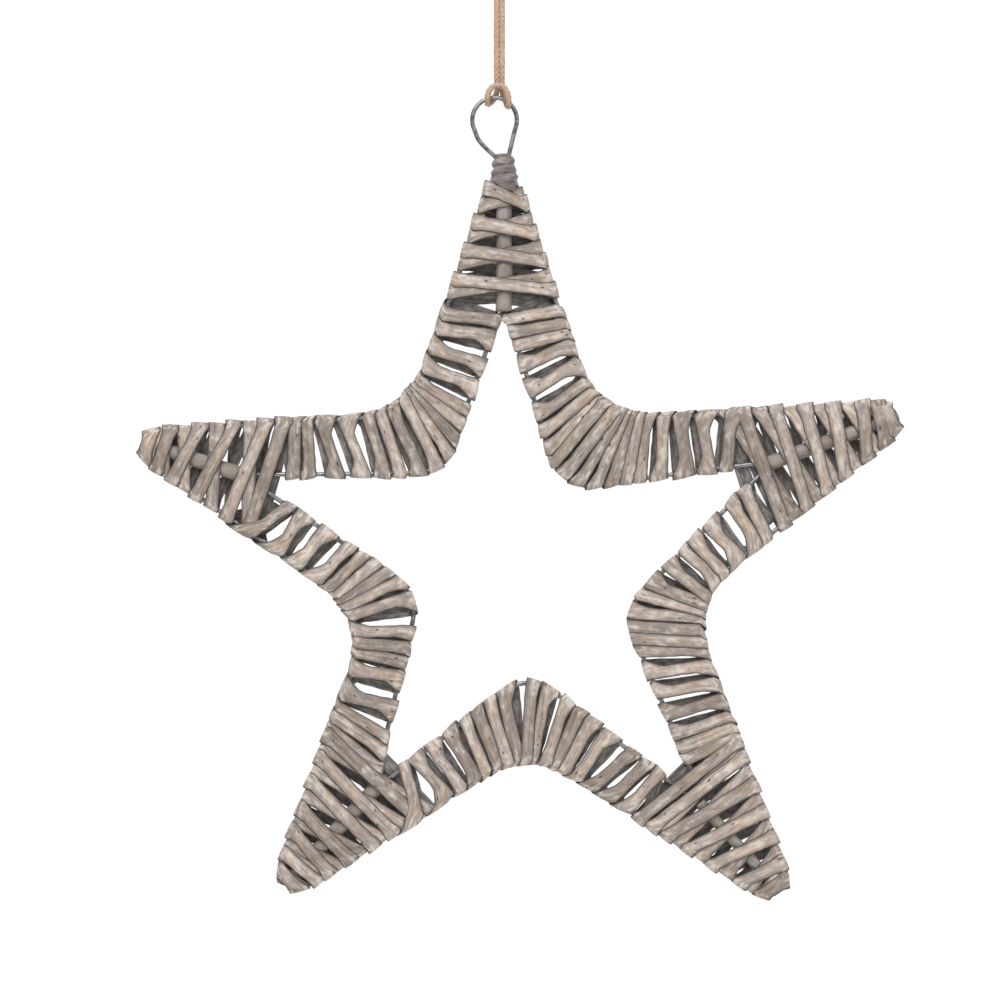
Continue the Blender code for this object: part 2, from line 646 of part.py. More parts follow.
def main():
    for obj in list(bpy.data.objects):
        bpy.data.objects.remove(obj)
    star = bpy.data.collections.new("Wicker star ornament")
    helpers = bpy.data.collections.new("Cutters")
    for collection in (star, helpers):
        bpy.context.scene.collection.children.link(collection)

    willow = new_material("Washed willow strip", (0.43, 0.36, 0.30), 0.75)
    bark = new_material("Grey willow cane", (0.30, 0.27, 0.25), 0.7)
    zinc = new_material("Zinc wire", (0.36, 0.36, 0.37), 0.35, 1.0)
    jute = new_material("Jute twine", (0.60, 0.44, 0.30), 0.9)

    outer, inner = star_wires(np.zeros(2))
    top = [tip.name for tip in TIPS].index("top")
    hung = np.array([TIP_SHIFT, EYE_CENTRE[1] - EYE_FOOT_DROP - TIP_UNDER_EYE])
    outer, inner = star_wires(hung - TipFrame(outer, inner, top).apex)

    for name, wire in (("outer_wire", outer), ("inner_wire", inner)):
        line = in_space(rounded(wire.corners, wire.bends, WIRE_CHORD_ERROR))
        add_tube(name, line, WIRE_DIAMETER, star, zinc, closed=True)

    frames = [TipFrame(outer, inner, i) for i in range(len(TIPS))]
    frames[top].stop_at_binding()
    for i, (tip, frame) in enumerate(zip(TIPS, frames)):
        winding = TIP_WINDINGS[tip.name]
        add_cane(tip.name + "_tip_cane", frame, winding, star, bark)
        add_strip(tip.name + "_tip_over_strip", tip_strip(frame, winding, True), star, willow)
        add_strip(tip.name + "_tip_under_strip", tip_strip(frame, winding, False), star, willow)

    for i, valley in enumerate(VALLEYS):
        starts = []
        for tip in (TIPS[i], TIPS[(i + 1) % len(TIPS)]):
            winding = TIP_WINDINGS[tip.name]
            lean = max(winding.over_lean, winding.under_lean) / 2
            reached = STRIP_WIDTH + lean - winding.first
            starts.append(max(CROTCH_START, reached + LEAN + END_CLEARANCE))
        add_strip(valley.name + "_leg_winding", leg_winding(outer, inner, i, starts), star, willow)

    add_tube("hanging_eye", eye_line(), EYE_WIRE_DIAMETER, star, zinc)
    binding = add_binding(frames[top], star, bark)
    wide_wire = add_tube(
        "wide_wire",
        in_space(rounded(outer.corners, outer.bends, WIRE_CHORD_ERROR)),
        WIRE_DIAMETER + 2 * TOUCH_GAP,
        helpers,
        zinc,
        closed=True,
    )
    wide_eye = add_tube("wide_eye", eye_line(), EYE_WIRE_DIAMETER + 2 * TOUCH_GAP, helpers, zinc)
    wide_cane = add_cane("wide_cane", frames[top], TIP_WINDINGS["top"], helpers, bark, TOUCH_GAP)
    cutters = [mesh_copy(wide_wire, "wire_way"), mesh_copy(wide_eye, "eye_way"), mesh_copy(wide_cane, "cane_way")]
    for guide in (wide_wire, wide_eye, wide_cane):
        bpy.data.objects.remove(guide)
    for cutter in cutters:
        cut(binding, cutter, helpers)

    add_tube("twine", twine_line(), TWINE_DIAMETER, star, jute, sides=8)
    add_knot(star, jute)


main()
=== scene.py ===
"""Wicker star ornament: the looks of two bent zinc wires wound with split willow, hung on jute twine.

Metres, +Z up, the star's front towards -Y. The origin is where a hook bears on the underside of the
twine's loop.
"""

import math
from collections import namedtuple

import bpy
import numpy as np
from bpy.props import FloatProperty, FloatVectorProperty, PointerProperty
from bpy.types import Operator, Panel, PropertyGroup
from mathutils import Color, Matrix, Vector


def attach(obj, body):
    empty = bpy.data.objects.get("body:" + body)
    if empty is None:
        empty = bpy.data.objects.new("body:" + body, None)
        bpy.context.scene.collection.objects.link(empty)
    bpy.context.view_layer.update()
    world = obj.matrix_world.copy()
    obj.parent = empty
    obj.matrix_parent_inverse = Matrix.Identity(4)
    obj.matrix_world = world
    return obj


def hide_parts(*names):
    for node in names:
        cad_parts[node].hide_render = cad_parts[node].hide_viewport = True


bl_info = {
    "name": "Wicker Star Ornament",
    "version": (1, 0, 0),
    "blender": (4, 5, 0),
    "location": "View3D > Sidebar > Wicker Star",
    "description": "Builds a willow-wound wire star with its hanging eye and twine, and a plain stage",
    "category": "Add Mesh",
}

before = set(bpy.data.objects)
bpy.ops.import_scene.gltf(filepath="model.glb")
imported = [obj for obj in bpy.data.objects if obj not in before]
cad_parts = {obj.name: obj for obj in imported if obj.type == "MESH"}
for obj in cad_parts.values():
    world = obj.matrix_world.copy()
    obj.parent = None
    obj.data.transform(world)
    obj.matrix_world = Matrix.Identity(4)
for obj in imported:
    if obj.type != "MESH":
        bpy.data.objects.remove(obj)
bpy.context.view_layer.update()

MM = 0.001

# The star frame: distances from the star's centre to the corners where the straight outer wires would meet
TIP_DISTANCE = 232.0 * MM
VALLEY_DISTANCE = 92.0 * MM
LEG_WIDTH = 27.5 * MM
WIRE_DIAMETER = 2.5 * MM
TIP_BEND = 9.3 * MM
TOP_TIP_BEND = 4.6 * MM
VALLEY_BEND = 37.0 * MM
INNER_TIP_BEND = 3.0 * MM
INNER_VALLEY_BEND = 22.0 * MM

# Each corner of the hand-bent frame: its angle, its share of the regular distance, how far the inner wire's
# corner is set in as a share of the leg's width, and how far that inset is turned from the line to the
# star's centre
Corner = namedtuple("Corner", "name angle share inset turn")
TIPS = (
    Corner("right", 24.6, 1.033, 3.27, -4.1),
    Corner("top", 92.3, 1.010, 2.95, -2.4),
    Corner("left", 159.3, 1.006, 2.65, 3.7),
    Corner("bottom_left", 231.4, 0.939, 3.11, -3.3),
    Corner("bottom_right", 310.3, 0.988, 2.72, 0.4),
)
VALLEYS = (
    Corner("upper_right", 66.2, 1.066, 1.47, -3.0),
    Corner("upper_left", 122.7, 1.204, 1.32, -2.5),
    Corner("lower_left", 190.2, 0.879, 1.02, 15.6),
    Corner("bottom", 272.3, 0.901, 1.43, -2.8),
    Corner("lower_right", 355.6, 0.954, 1.23, 11.8),
)

# Where each leg's front runs cross the outer and the inner wire, in millimetres along each from the valley's
# middle, counter-clockwise
LEG_WINDINGS = {
    "upper_right": (
        (-67.0, -85.2), (-50.7, -76.4), (-39.4, -64.4), (-31.0, -50.2), (-21.6, -39.0), (-18.0, -31.6),
        (-13.2, -24.5), (-10.4, -15.8), (-8.0, -6.5), (-4.6, 2.8), (2.2, 11.6), (6.4, 18.9), (10.7, 28.2),
        (16.9, 37.2), (28.5, 50.6), (39.1, 64.5), (45.2, 76.0), (50.5, 83.3), (57.6, 91.4),
    ),
    "upper_left": (
        (-53.1, -84.2), (-44.8, -75.6), (-33.6, -60.0), (-22.8, -48.0), (-13.9, -34.4), (-10.0, -26.8),
        (-7.2, -18.1), (-5.4, -9.4), (-2.8, -0.2), (5.7, 9.2), (11.9, 20.2), (18.9, 28.4), (32.5, 39.1),
        (44.3, 52.9), (51.3, 68.2), (57.6, 76.9),
    ),
    "lower_left": (
        (-73.0, -82.0), (-55.2, -73.9), (-43.2, -58.8), (-30.0, -43.7), (-22.8, -34.6), (-16.7, -26.9),
        (-11.9, -19.0), (-8.8, -11.2), (-3.9, -0.8), (5.3, 17.9), (10.9, 26.9), (16.0, 34.7), (26.2, 42.5),
        (39.8, 58.8), (47.0, 75.0), (52.3, 82.8), (58.7, 92.4),
    ),
    "bottom": (
        (-66.0, -80.0), (-46.6, -73.4), (-38.5, -62.5), (-28.9, -50.9), (-23.1, -39.9), (-15.6, -31.9),
        (-10.3, -23.6), (-5.0, -14.9), (-0.6, 1.5), (2.6, 10.1), (9.9, 22.2), (14.9, 31.3), (20.8, 39.2),
        (28.5, 49.7), (38.3, 66.2), (49.7, 75.9), (60.3, 84.2),
    ),
    "lower_right": (
        (-71.3, -83.6), (-66.2, -76.6), (-60.6, -69.4), (-50.6, -58.3), (-41.3, -45.6), (-31.3, -34.4),
        (-23.0, -21.6), (-18.6, -14.2), (-12.3, -7.5), (-5.5, -0.2), (-1.8, 10.4), (2.0, 18.2),
        (6.6, 31.6), (17.2, 43.0), (21.8, 50.6), (34.0, 61.6), (45.8, 78.5), (51.7, 88.1),
    ),
}
# Where a run behind leaves the inner wire and meets the outer one, as shares of the way to the next run in
# front, and how far each such place may be off
BEHIND_AT_INNER, OFF_AT_INNER = 0.36, 0.06
BEHIND_AT_OUTER, OFF_AT_OUTER = 0.14, 0.08

# How each tip is wound, in millimetres: the crossings of the strip that lies over and of the one under it,
# each as the distances from the inner wire's corner, along the tip, where it leaves one side and meets the
# other, then the cane's diameter, and what share of its width a strip is drawn to behind
TipWinding = namedtuple("TipWinding", "over under cane behind")


def crossings(centres, lean):
    """Crossings that all run as far out of square."""
    return tuple((centre - lean / 2, centre + lean / 2) for centre in centres)


TIP_WINDINGS = {
    "right": TipWinding(
        ((-6.7, -6.5), (7.9, 10.1), (21.1, 24.9), (32.6, 39.2), (46.8, 54.0), (58.5, 61.5), (65.6, 64.8)),
        ((-14.8, 0.6), (1.8, 14.5), (17.5, 26.9), (32.0, 39.7), (46.6, 53.2), (59.0, 63.0)),
        8.2,
        0.6,
    ),
    "top": TipWinding(
        (*crossings((8.5, 23.9, 38.7), 5.6), (51.3, 59.2)),
        (*crossings((8.5, 23.9, 38.7), 7.4), (50.4, 55.4)),
        9.0,
        0.82,
    ),
    "left": TipWinding(
        ((-13.3, -12.6), (-4.2, 0.1), (11.4, 18.8), (28.0, 33.4), (42.5, 43.0), (51.6, 51.0)),
        ((-12.4, 3.0), (9.5, 19.7), (26.1, 35.7), (38.5, 46.5), (49.5, 50.0)),
        8.6,
        0.76,
    ),
    "bottom_left": TipWinding(
        ((-5.3, -6.2), (6.0, 8.4), (18.3, 20.3), (32.6, 34.4), (43.9, 46.8), (55.6, 54.4), (63.6, 64.0)),
        ((-13.5, 0.4), (1.1, 12.2), (14.4, 25.5), (27.4, 38.3), (40.6, 50.1), (50.8, 55.4), (62.5, 64.6)),
        8.4,
        0.6,
    ),
    "bottom_right": TipWinding(
        ((-22.7, -18.4), (-14.9, -10.3), (-6.2, 4.4), (6.6, 18.1), (21.1, 31.5), (38.2, 44.8), (50.6, 52.4)),
        ((-14.4, -10.6), (-3.0, 0.2), (11.3, 13.9), (24.8, 29.7), (38.2, 43.9), (48.1, 50.5)),
        6.4,
        0.6,
    ),
}
# How far short of a tip's end its strips draw in, by what share they do at the end, and for how many times
# that length it goes on
DRAWN_IN = 8.0 * MM
DRAWN_IN_SHARE = 0.3
DRAWN_IN_TIMES = 1.4

# How strips vary, as shares of their width: along the legs and on the tips
LEG_WIDTHS = (0.93, 1.1)
TIP_WIDTHS = (0.93, 1.06)
# How far the two edges of a fold stand off, in millimetres: one stays near the wire, the other is slack
SNUG_EDGE = (-0.1, 0.1)
SLACK_OVER_OUTER = (0.4, 1.25)
SLACK_OVER_INNER = (0.4, 1.5)
TIP_SNUG_EDGE = (-0.3, -0.05)
TIP_SLACK_EDGE = (0.4, 1.2)
# How round a strip is, as a share of its full crown: in a leg's folds, where a leg's turns crowd, at a run's
# ends, and on a tip the upper strip, the lower one and their folds
FOLD_CROWN, LEAST_CROWN, CROWN_AT_FOLD = 0.55, 0.5, 0.6
OVER_CROWN, UNDER_CROWN, TIP_FOLD_CROWN = 0.75, 0.5, 0.6
# For how much of a run the painted highlight of its folds reaches, what share of the bow in front there is
# behind, how far a run bows out, and how far its edges roll up at the inner wire
LEG_HIGHLIGHT_REACH, TIP_HIGHLIGHT_REACH = 0.13, 0.1
BOW_BEHIND = 0.7
LEG_BOW = 0.35 * MM
TIP_BOW = 0.25 * MM
EDGE_ROLL = 0.12 * MM
# What share of the gap to the next turn a leg's strip covers by its flare, and the most that it flares
OUTER_COVER, OUTER_COVER_MOST = 0.96, 6 * MM
INNER_COVER, INNER_COVER_MOST = 0.85, 5 * MM
# What share of the turns lies under the next one, and how much room a turn has over the one below
UNDER_SHARE = 0.2
TURN_ROOM = 0.25 * MM
# How close turns may come for their lift, from which pitch on they clear each other, and over what range the
# lift eases out, all as shares of a strip's width
CLOSEST_PITCH, CLEAR_PITCH, EASING_PITCH = 0.4, 1.35, 0.35
# How a strip's flare falls off with the way from its fold
FLARE_POWER = 1.15
# Where a leg's strip starts and ends behind, as shares of a turn, and how much of its first and its last run
# there is: from and to which share, and at which share its full lift or sink is reached
START_AT_INNER, END_AT_INNER, END_AT_OUTER = -0.2, 0.1, 1.1
START_RUN = np.linspace(0.1, 0.95, 8)
END_RUN = np.linspace(0.1, 0.85, 8)
LIFTED_AT = 0.3
# How far each leg's first turn stands off the wire, in millimetres: at two legs it lies over the tip's strips
FIRST_LIFTS = {"upper_right": 0.7, "upper_left": 0.7, "lower_left": 1.6, "bottom": 1.6, "lower_right": 0.7}
# How far its last turn lies in, under the tip's strips
LAST_SINK = -0.75 * MM
# How far a tip's upper strip clears its lower one, how far the lower one stands off the wire, how far both
# clear the cane, and in millimetres how much they flare
OVER_ROOM = 0.42 * MM
UNDER_ROOM = 0.07 * MM
CANE_ROOM = 0.1 * MM
TIP_SPREAD = (0.3, 1.0)
# Where a tip's strips start and end behind, back from their first and last crossing, the parts of a run that
# show there with how round they are, and over what length the strips come down from the cane's end
TIP_START_BACK, TIP_END_BACK = 5 * MM, 2 * MM
TIP_START_RUN, TIP_START_CROWN = np.linspace(0.02, 0.95, 9), 0.4
TIP_END_RUN, TIP_END_CROWN = np.linspace(0.08, 0.45, 5), 0.3
CANE_EASING = 3 * MM
# How far a strip's flare reaches from a fold over the outer and the inner wire, and over a tip's side
OUTER_FLARE = 9.0 * MM
INNER_FLARE = 8.0 * MM
TIP_FLARE = 4.5 * MM
# How far a strip's edges waver, with the step of their waves, how far apart that is worked out, and the least
# way between its stations
EDGE_WAVER = (0.14 * MM, 1.7)
WAVER_SPACING = 1.5 * MM
LEAST_STEP = 0.02 * MM
# What makes up a wavering value: how many waves, how fast they are, and what share of their sum it is
WAVES, WAVE_SPEEDS, WAVE_SHARE = 5, (0.15, 1.1), 2.2

# A cane: its taper to the tip's end, the share of its diameter that leaves room for its lumps, and its
# stations and sides
CANE_TAPER = 0.92
CANE_SHARE = 0.985
CANE_STATIONS, CANE_SIDES = 40, 28
# Its surface's waves: how high as a share of the radius, how many round it, where they start and how fast
# they turn along it
CANE_WAVES = ((0.018, 2, 3, 90), (0.012, 5, 0, 160))
# How far its thickness and its middle line waver, with the steps of their waves, and its gap to the wire at
# the tip's end
CANE_SWELL, CANE_WANDER = (0.025, 0.35), (0.25 * MM, 0.12)
CANE_END_GAP = 0.3 * MM
# The worn rim at each end of a cane, as shares of its radius from the middle out
CANE_RIM = [0.0, 0.6, 0.93]

# The hanging eye and its binding, from the top down
EYE_TOP_DROP = 81.9 * MM
EYE_SHIFT = -2.6 * MM
EYE_WIRE_DIAMETER = 2.4 * MM
EYE_RADIUS = 12.4 * MM
EYE_FOOT_DROP = 19.6 * MM
EYE_LEFT_FOOT = 1.0 * MM
EYE_RIGHT_FOOT = 7.2 * MM
EYE_LEFT_ANGLE = 215.0
EYE_RIGHT_ANGLE = -25.0
EYE_CENTRE = np.array([EYE_SHIFT, -EYE_TOP_DROP - EYE_RADIUS])
TIP_SHIFT = 2.2 * MM
TIP_UNDER_EYE = 4.3 * MM
EYE_LOOP_RADIUS = 11.9 * MM
EYE_LEFT_BOW = np.array([(-7.4, -108.6), (-10.4, -105.4), (-12.4, -102.2)]) * MM
EYE_SPACING = 0.4 * MM
# Over how many points to each side the eye's kinks are smoothed
EYE_SOFT = 6
# The binding from its top down: its height, how far its middle is aside and its radius at each level, in
# millimetres
BINDING_LEVELS = np.array([
    (-111.6, 2.2, 4.6), (-114.0, 2.2, 5.4), (-118.0, 2.4, 6.3), (-121.5, 2.4, 6.9), (-126.0, 2.6, 6.4),
    (-129.5, 3.0, 6.4), (-132.6, 3.2, 5.8),
])
BINDING_RADIUS = 6.2
BINDING_TURNS = 4.4
BINDING_GROOVE = 0.2
# The share of its height over which each end is rounded off, how its turns and its grooves bend, and the
# centimetres on its map for a turn and for a radian
BINDING_CLOSING = 0.045
TURNS_POWER, GROOVE_POWER = 0.92, 0.55
BINDING_MAP = (0.46, 0.6)
# Lumps on the binding: how far down it, degrees round it from the front, half height and half width in
# millimetres, and how far they stand out
BINDING_LUMPS = (
    (0.13, -25, 2.6, 4.2, 0.9), (0.28, 30, 2.1, 2.6, 0.8), (0.33, -30, 2.2, 2.8, 0.9),
    (0.5, 25, 2.8, 3.0, 1.1), (0.52, -45, 2.4, 2.4, 0.8), (0.72, 8, 2.6, 5.4, 1.2),
    (0.24, 110, 2.6, 3.4, 0.8), (0.45, 160, 2.8, 3.6, 0.9), (0.62, -120, 2.6, 3.2, 0.9),
    (0.3, -150, 2.4, 3.0, 0.8), (0.8, 120, 2.6, 3.4, 0.7),
)
BINDING_ROWS, BINDING_SIDES = 130, 56
# Slow waves of its surface: how many, how high as a share of the radius, and how fast along it
BINDING_WAVES, BINDING_WAVE_HEIGHT, BINDING_WAVE_SPEEDS = 7, 0.022, (5, 26)

# The twine's route in millimetres: from the knot over the hook, down the left strand, through the eye and
# round its wire in a lark's head with the arch in front, and up the right strand to the knot again
TWINE_ROUTE = (
    (3.4, 0.0, -11.3), (3.6, 0.0, -6.0), (3.2, 0.0, -1.2), (1.8, 0.0, 0.9), (0.0, 0.0, 1.4),
    (-1.8, 0.0, 0.9), (-3.2, 0.0, -1.2), (-3.4, 0.0, -6.0), (-2.3, 0.0, -16.0), (-1.5, 0.2, -27.0),
    (-1.5, 0.3, -48.0), (-1.45, 0.4, -66.0), (-1.35, 1.3, -73.5), (-1.5, 2.9, -78.6), (-2.9, 3.3, -82.2),
    (-4.8, 2.4, -84.4), (-6.2, 0.4, -85.2), (-6.4, -1.3, -84.2), (-6.3, -2.8, -82.2), (-5.4, -2.9, -78.8),
    (-3.7, -2.6, -76.7), (-0.6, -2.5, -75.8), (2.3, -2.6, -76.8), (4.2, -2.9, -80.0), (4.9, -2.9, -83.6),
    (4.9, -1.3, -86.2), (4.4, 1.4, -86.4), (3.2, 3.2, -83.4), (1.6, 3.0, -78.6), (1.3, 1.3, -73.5),
    (1.35, 0.4, -66.0), (1.4, 0.3, -48.0), (1.4, 0.2, -30.0), (1.7, 0.0, -25.0), (3.0, 0.0, -20.7),
)
TWINE_DIAMETER = 2.8 * MM
TWINE_SPACING = 0.45 * MM
# How far the strands' crests stand out, so that their grooves lie in, as a share of the radius, and how far
# that wavers, with the step of its waves
TWINE_SWELL, TWINE_WAVER = 1.15, (0.04, 0.55)
STRANDS = 3
LAY_LENGTH = 8 * MM
TWINE_GROOVE, KNOT_GROOVE = 0.25, 0.3
KNOT_PLACE = np.array([3.4, 0.0, -16.0]) * MM
KNOT_SIZE = np.array([2.9, 2.7, 1.9])
KNOT_STRETCH = np.array([1.0, 1.0, 1.3])

# Fineness of the surfaces
PATH_CHORD_ERROR = 0.005 * MM
PATH_STEP = 0.25 * MM
SMOOTH_STEPS = 40
WIRE_STATIONS, RING_STATIONS, KNOT_STATIONS = 900, 60, 120
TWINE_SIDES, KNOT_SIDES, WIRE_SIDES, EYE_SIDES = 24, 18, 14, 16
RUN_SHARES = np.array([0.03, 0.07, 0.12, 0.18, 0.27, 0.4, 0.5, 0.6, 0.73, 0.82, 0.88, 0.93, 0.97])
CROSSING_SHARES = np.array(
    [0.02, 0.05, 0.1, 0.17, 0.25, 0.33, 0.4, 0.45, 0.5, 0.55, 0.6, 0.67, 0.75, 0.83, 0.9, 0.95, 0.98]
)
STRIP_COLUMNS = np.array([0.0, 0.025, 0.09, 0.25, 0.5, 0.75, 0.91, 0.975, 1.0])
STRIP_FULLNESS = np.array([0.35, 0.85, 1.0, 1.0, 1.0, 1.0, 1.0, 0.85, 0.35])
# The stations of a fold: how far through it each is, and its angle round the wire from front to back
WRAP = np.linspace(0, 1, 7)
TURNED_OVER = np.linspace(-90, 90, 7)
TURNED_BACK = TURNED_OVER[::-1]

# The random draws of each group of pieces start from these
TWINE_SEED, BINDING_SEED, CANE_SEED, LEG_SEED, LEG_EDGE_SEED, TIP_SEED = 5, 9, 40, 100, 200, 300

# Where the photograph's frame lies: its scale and the place of its middle
FRAME_WIDTH = 530.0 * MM
FRAME_CENTRE = (0.27 * MM, -295.2 * MM)
# The studio: each light's name, place, size and power, how the sky goes from dark below to light above, how
# light the backdrop is, where the lights point, and the floor
LIGHTS = (
    ("Key light", (-0.3, -0.95, 0.8), 0.7, 9.6),
    ("Fill light", (1.3, -1.0, 0.1), 1.2, 3.0),
    ("Back light", (0.6, 1.6, 0.5), 1.2, 6.0),
)
SKY = (-0.6, 0.8, 0.1, 0.62)
BACKDROP = 1.05
AIM = Vector((0.0, 0.0, -0.3))
FLOOR_RADIUS, FLOOR_HEIGHT, FLOOR_SIDES = 1.7, -0.9, 96


def direction(degrees):
    """The unit vector at an angle in the star's plane, as (x, z)."""
    return np.array([math.cos(math.radians(degrees)), math.sin(math.radians(degrees))])


def in_space(flat, depth=0.0):
    """Points (x, z) of the star's plane as (x, y, z), at a depth behind it."""
    return np.stack([flat[..., 0], np.broadcast_to(depth, flat.shape[:-1]), flat[..., 1]], axis=-1)


def unit(vectors):
    """The vectors at length one."""
    return vectors / np.maximum(np.linalg.norm(vectors, axis=-1, keepdims=True), 1e-12)


def blend(first, second, share):
    """From the first to the second value, in a straight line by the share."""
    return first + (second - first) * share


def gone_along(line):
    """How far each point of a line is along it."""
    return np.concatenate([[0], np.cumsum(np.linalg.norm(np.diff(line, axis=0), axis=1))])


def evenly(line, spacing):
    """The same line with points the spacing apart."""
    gone = gone_along(line)
    even = np.linspace(0, gone[-1], max(2, int(round(gone[-1] / spacing)) + 1))
    return np.stack([np.interp(even, gone, line[:, i]) for i in range(3)], axis=1)


def round_turn(count):
    """Angles evenly round a full turn, as one row."""
    return np.linspace(0, 2 * math.pi, count, endpoint=False)[None, :]


def bend_at(corners, bends, i):
    """The centre of the arc that rounds a corner, its sides' directions and half the angle between them."""
    corner = corners[i]
    back = unit(corners[i - 1] - corner)
    on = unit(corners[(i + 1) % len(corners)] - corner)
    half = math.acos(float(np.clip(back @ on, -1, 1))) / 2
    return corner + unit(back + on) * bends[i] / math.sin(half), back, on, half


def arc(corners, bends, i):
    """The arc that rounds a corner, tangent to both its sides."""
    centre, back, on, half = bend_at(corners, bends, i)
    start = corners[i] + back * bends[i] / math.tan(half) - centre
    end = corners[i] + on * bends[i] / math.tan(half) - centre
    sweep = math.atan2(start[0] * end[1] - start[1] * end[0], float(start @ end))
    step = 2 * math.acos(1 - PATH_CHORD_ERROR / bends[i])
    turns = np.linspace(0, sweep, math.ceil(abs(sweep) / step) + 1)[:, None]
    return centre + np.cos(turns) * start + np.sin(turns) * np.array([-start[1], start[0]])


class Wire:
    """A closed wire: its corners and bends, and where its centre line is at any length along it. Its side is
    1 for the outer wire and -1 for the inner one, which is wound from the other side."""

    def __init__(self, corners, bends, side):
        self.corners, self.bends, self.side = corners, bends, side
        fine = np.vstack([arc(corners, bends, i) for i in range(len(corners))])
        steps = np.linalg.norm(np.roll(fine, -1, axis=0) - fine, axis=1)
        self.length = float(steps.sum())
        self.knots = np.concatenate([[0], np.cumsum(steps)])
        self.line = np.vstack([fine, fine[:1]])

    def at(self, along):
        """The points (x, z) at these lengths along the wire."""
        along = np.mod(along, self.length)
        return np.stack([np.interp(along, self.knots, self.line[:, i]) for i in (0, 1)], axis=-1)

    def outward(self, along):
        """Unit vectors square to the wire, pointing away from the star's inside."""
        run = unit(self.at(along + PATH_STEP) - self.at(along - PATH_STEP))
        return np.stack([run[..., 1], -run[..., 0]], axis=-1)

    def middle_of_bend(self, i):
        """The length along the wire at the middle of the arc that rounds a corner: where a ray from the arc's
        centre to the corner first meets the wire."""
        start = bend_at(self.corners, self.bends, i)[0]
        towards = self.corners[i] - start
        a = self.line[:-1] - start
        run = np.diff(self.line, axis=0)
        denominator = towards[0] * run[:, 1] - towards[1] * run[:, 0]
        denominator = np.where(abs(denominator) < 1e-12, 1e-12, denominator)
        ray = (a[:, 0] * run[:, 1] - a[:, 1] * run[:, 0]) / denominator
        share = (a[:, 0] * towards[1] - a[:, 1] * towards[0]) / denominator
        hit = (ray > 0) & (share >= 0) & (share <= 1)
        nearest = np.flatnonzero(hit)[np.argmin(ray[hit])]
        return self.knots[nearest] + share[nearest] * np.linalg.norm(run[nearest])

    def round(self, along, around, offset):
        """Points round the wire: offset from its centre line, turned from the front (-90 degrees) over the
        side away from the wound space (0) to the back (90)."""
        turned = np.radians(around)
        reach = (self.side * offset * np.cos(turned))[..., None]
        return in_space(self.at(along) + reach * self.outward(along), offset * np.sin(turned))


class TipFrame:
    """A tip seen along its axis: from the inner wire's corner outwards, with a wire either side."""

    def __init__(self, outer, inner, i):
        self.foot = inner.corners[2 * i]
        bend_centre = bend_at(outer.corners, outer.bends, 2 * i)[0]
        self.bend_centre = np.linalg.norm(bend_centre - self.foot)
        self.axis = (bend_centre - self.foot) / self.bend_centre
        self.across = np.array([self.axis[1], -self.axis[0]])
        self.bend = outer.bends[2 * i]
        self.apex = bend_centre + self.axis * self.bend
        inner_centre = bend_at(inner.corners, inner.bends, 2 * i)[0]
        reach = (inner_centre - self.foot) @ self.axis + inner.bends[2 * i]
        self.cane_start = reach + WIRE_DIAMETER / 2
        self.corner = outer.corners[2 * i]
        beside = (outer.corners[2 * i - 1], outer.corners[(2 * i + 1) % len(outer.corners)])
        self.valleys = {math.copysign(1, (place - self.foot) @ self.across): place for place in beside}

    def side_point(self, outwards, around, offset, side):
        """Points round the outer wire's straight side, carried on past the bend at the tip's end. around
        turns from the front (-90 degrees) over the outside (0) to the back (90)."""
        run = unit(self.corner - self.valleys[side])
        reach = (outwards - (self.corner - self.foot) @ self.axis) / (run @ self.axis)
        square = np.array([run[1], -run[0]])
        square = square * math.copysign(1, square @ self.across * side)
        turned = np.radians(around)
        flat = self.corner + reach[..., None] * run + (offset * np.cos(turned))[..., None] * square
        tip_reach = self.bend_centre + self.bend
        near_end = np.clip((outwards - tip_reach + DRAWN_IN) / DRAWN_IN, 0, DRAWN_IN_TIMES)
        aside = (flat - self.foot) @ self.across
        flat = flat - (aside * DRAWN_IN_SHARE * near_end**2)[..., None] * self.across
        return in_space(flat, offset * np.sin(turned))


def star_wires(centre):
    """The outer and the inner wire. Their corners alternate, tip and valley, from the right tip on."""
    outer, inner, outer_bends, inner_bends = [], [], [], []
    for tip, valley in zip(TIPS, VALLEYS):
        for corner, distance in ((tip, TIP_DISTANCE), (valley, VALLEY_DISTANCE)):
            place = centre + distance * corner.share * direction(corner.angle)
            outer.append(place)
            inner.append(place - LEG_WIDTH * corner.inset * direction(corner.angle + corner.turn))
        outer_bends += [TOP_TIP_BEND if tip.name == "top" else TIP_BEND, VALLEY_BEND]
        inner_bends += [INNER_TIP_BEND, INNER_VALLEY_BEND]
    return Wire(outer, outer_bends, 1), Wire(inner, inner_bends, -1)


def hung_star():
    """The two wires where the tip meets the eye's feet, and the frames of the five tips."""
    top = [tip.name for tip in TIPS].index("top")
    outer, inner = star_wires(np.zeros(2))
    hung = np.array([TIP_SHIFT, EYE_CENTRE[1] - EYE_FOOT_DROP - TIP_UNDER_EYE])
    outer, inner = star_wires(hung - TipFrame(outer, inner, top).apex)
    return outer, inner, [TipFrame(outer, inner, i) for i in range(len(TIPS))]


OUTER, INNER, TIP_FRAMES = hung_star()


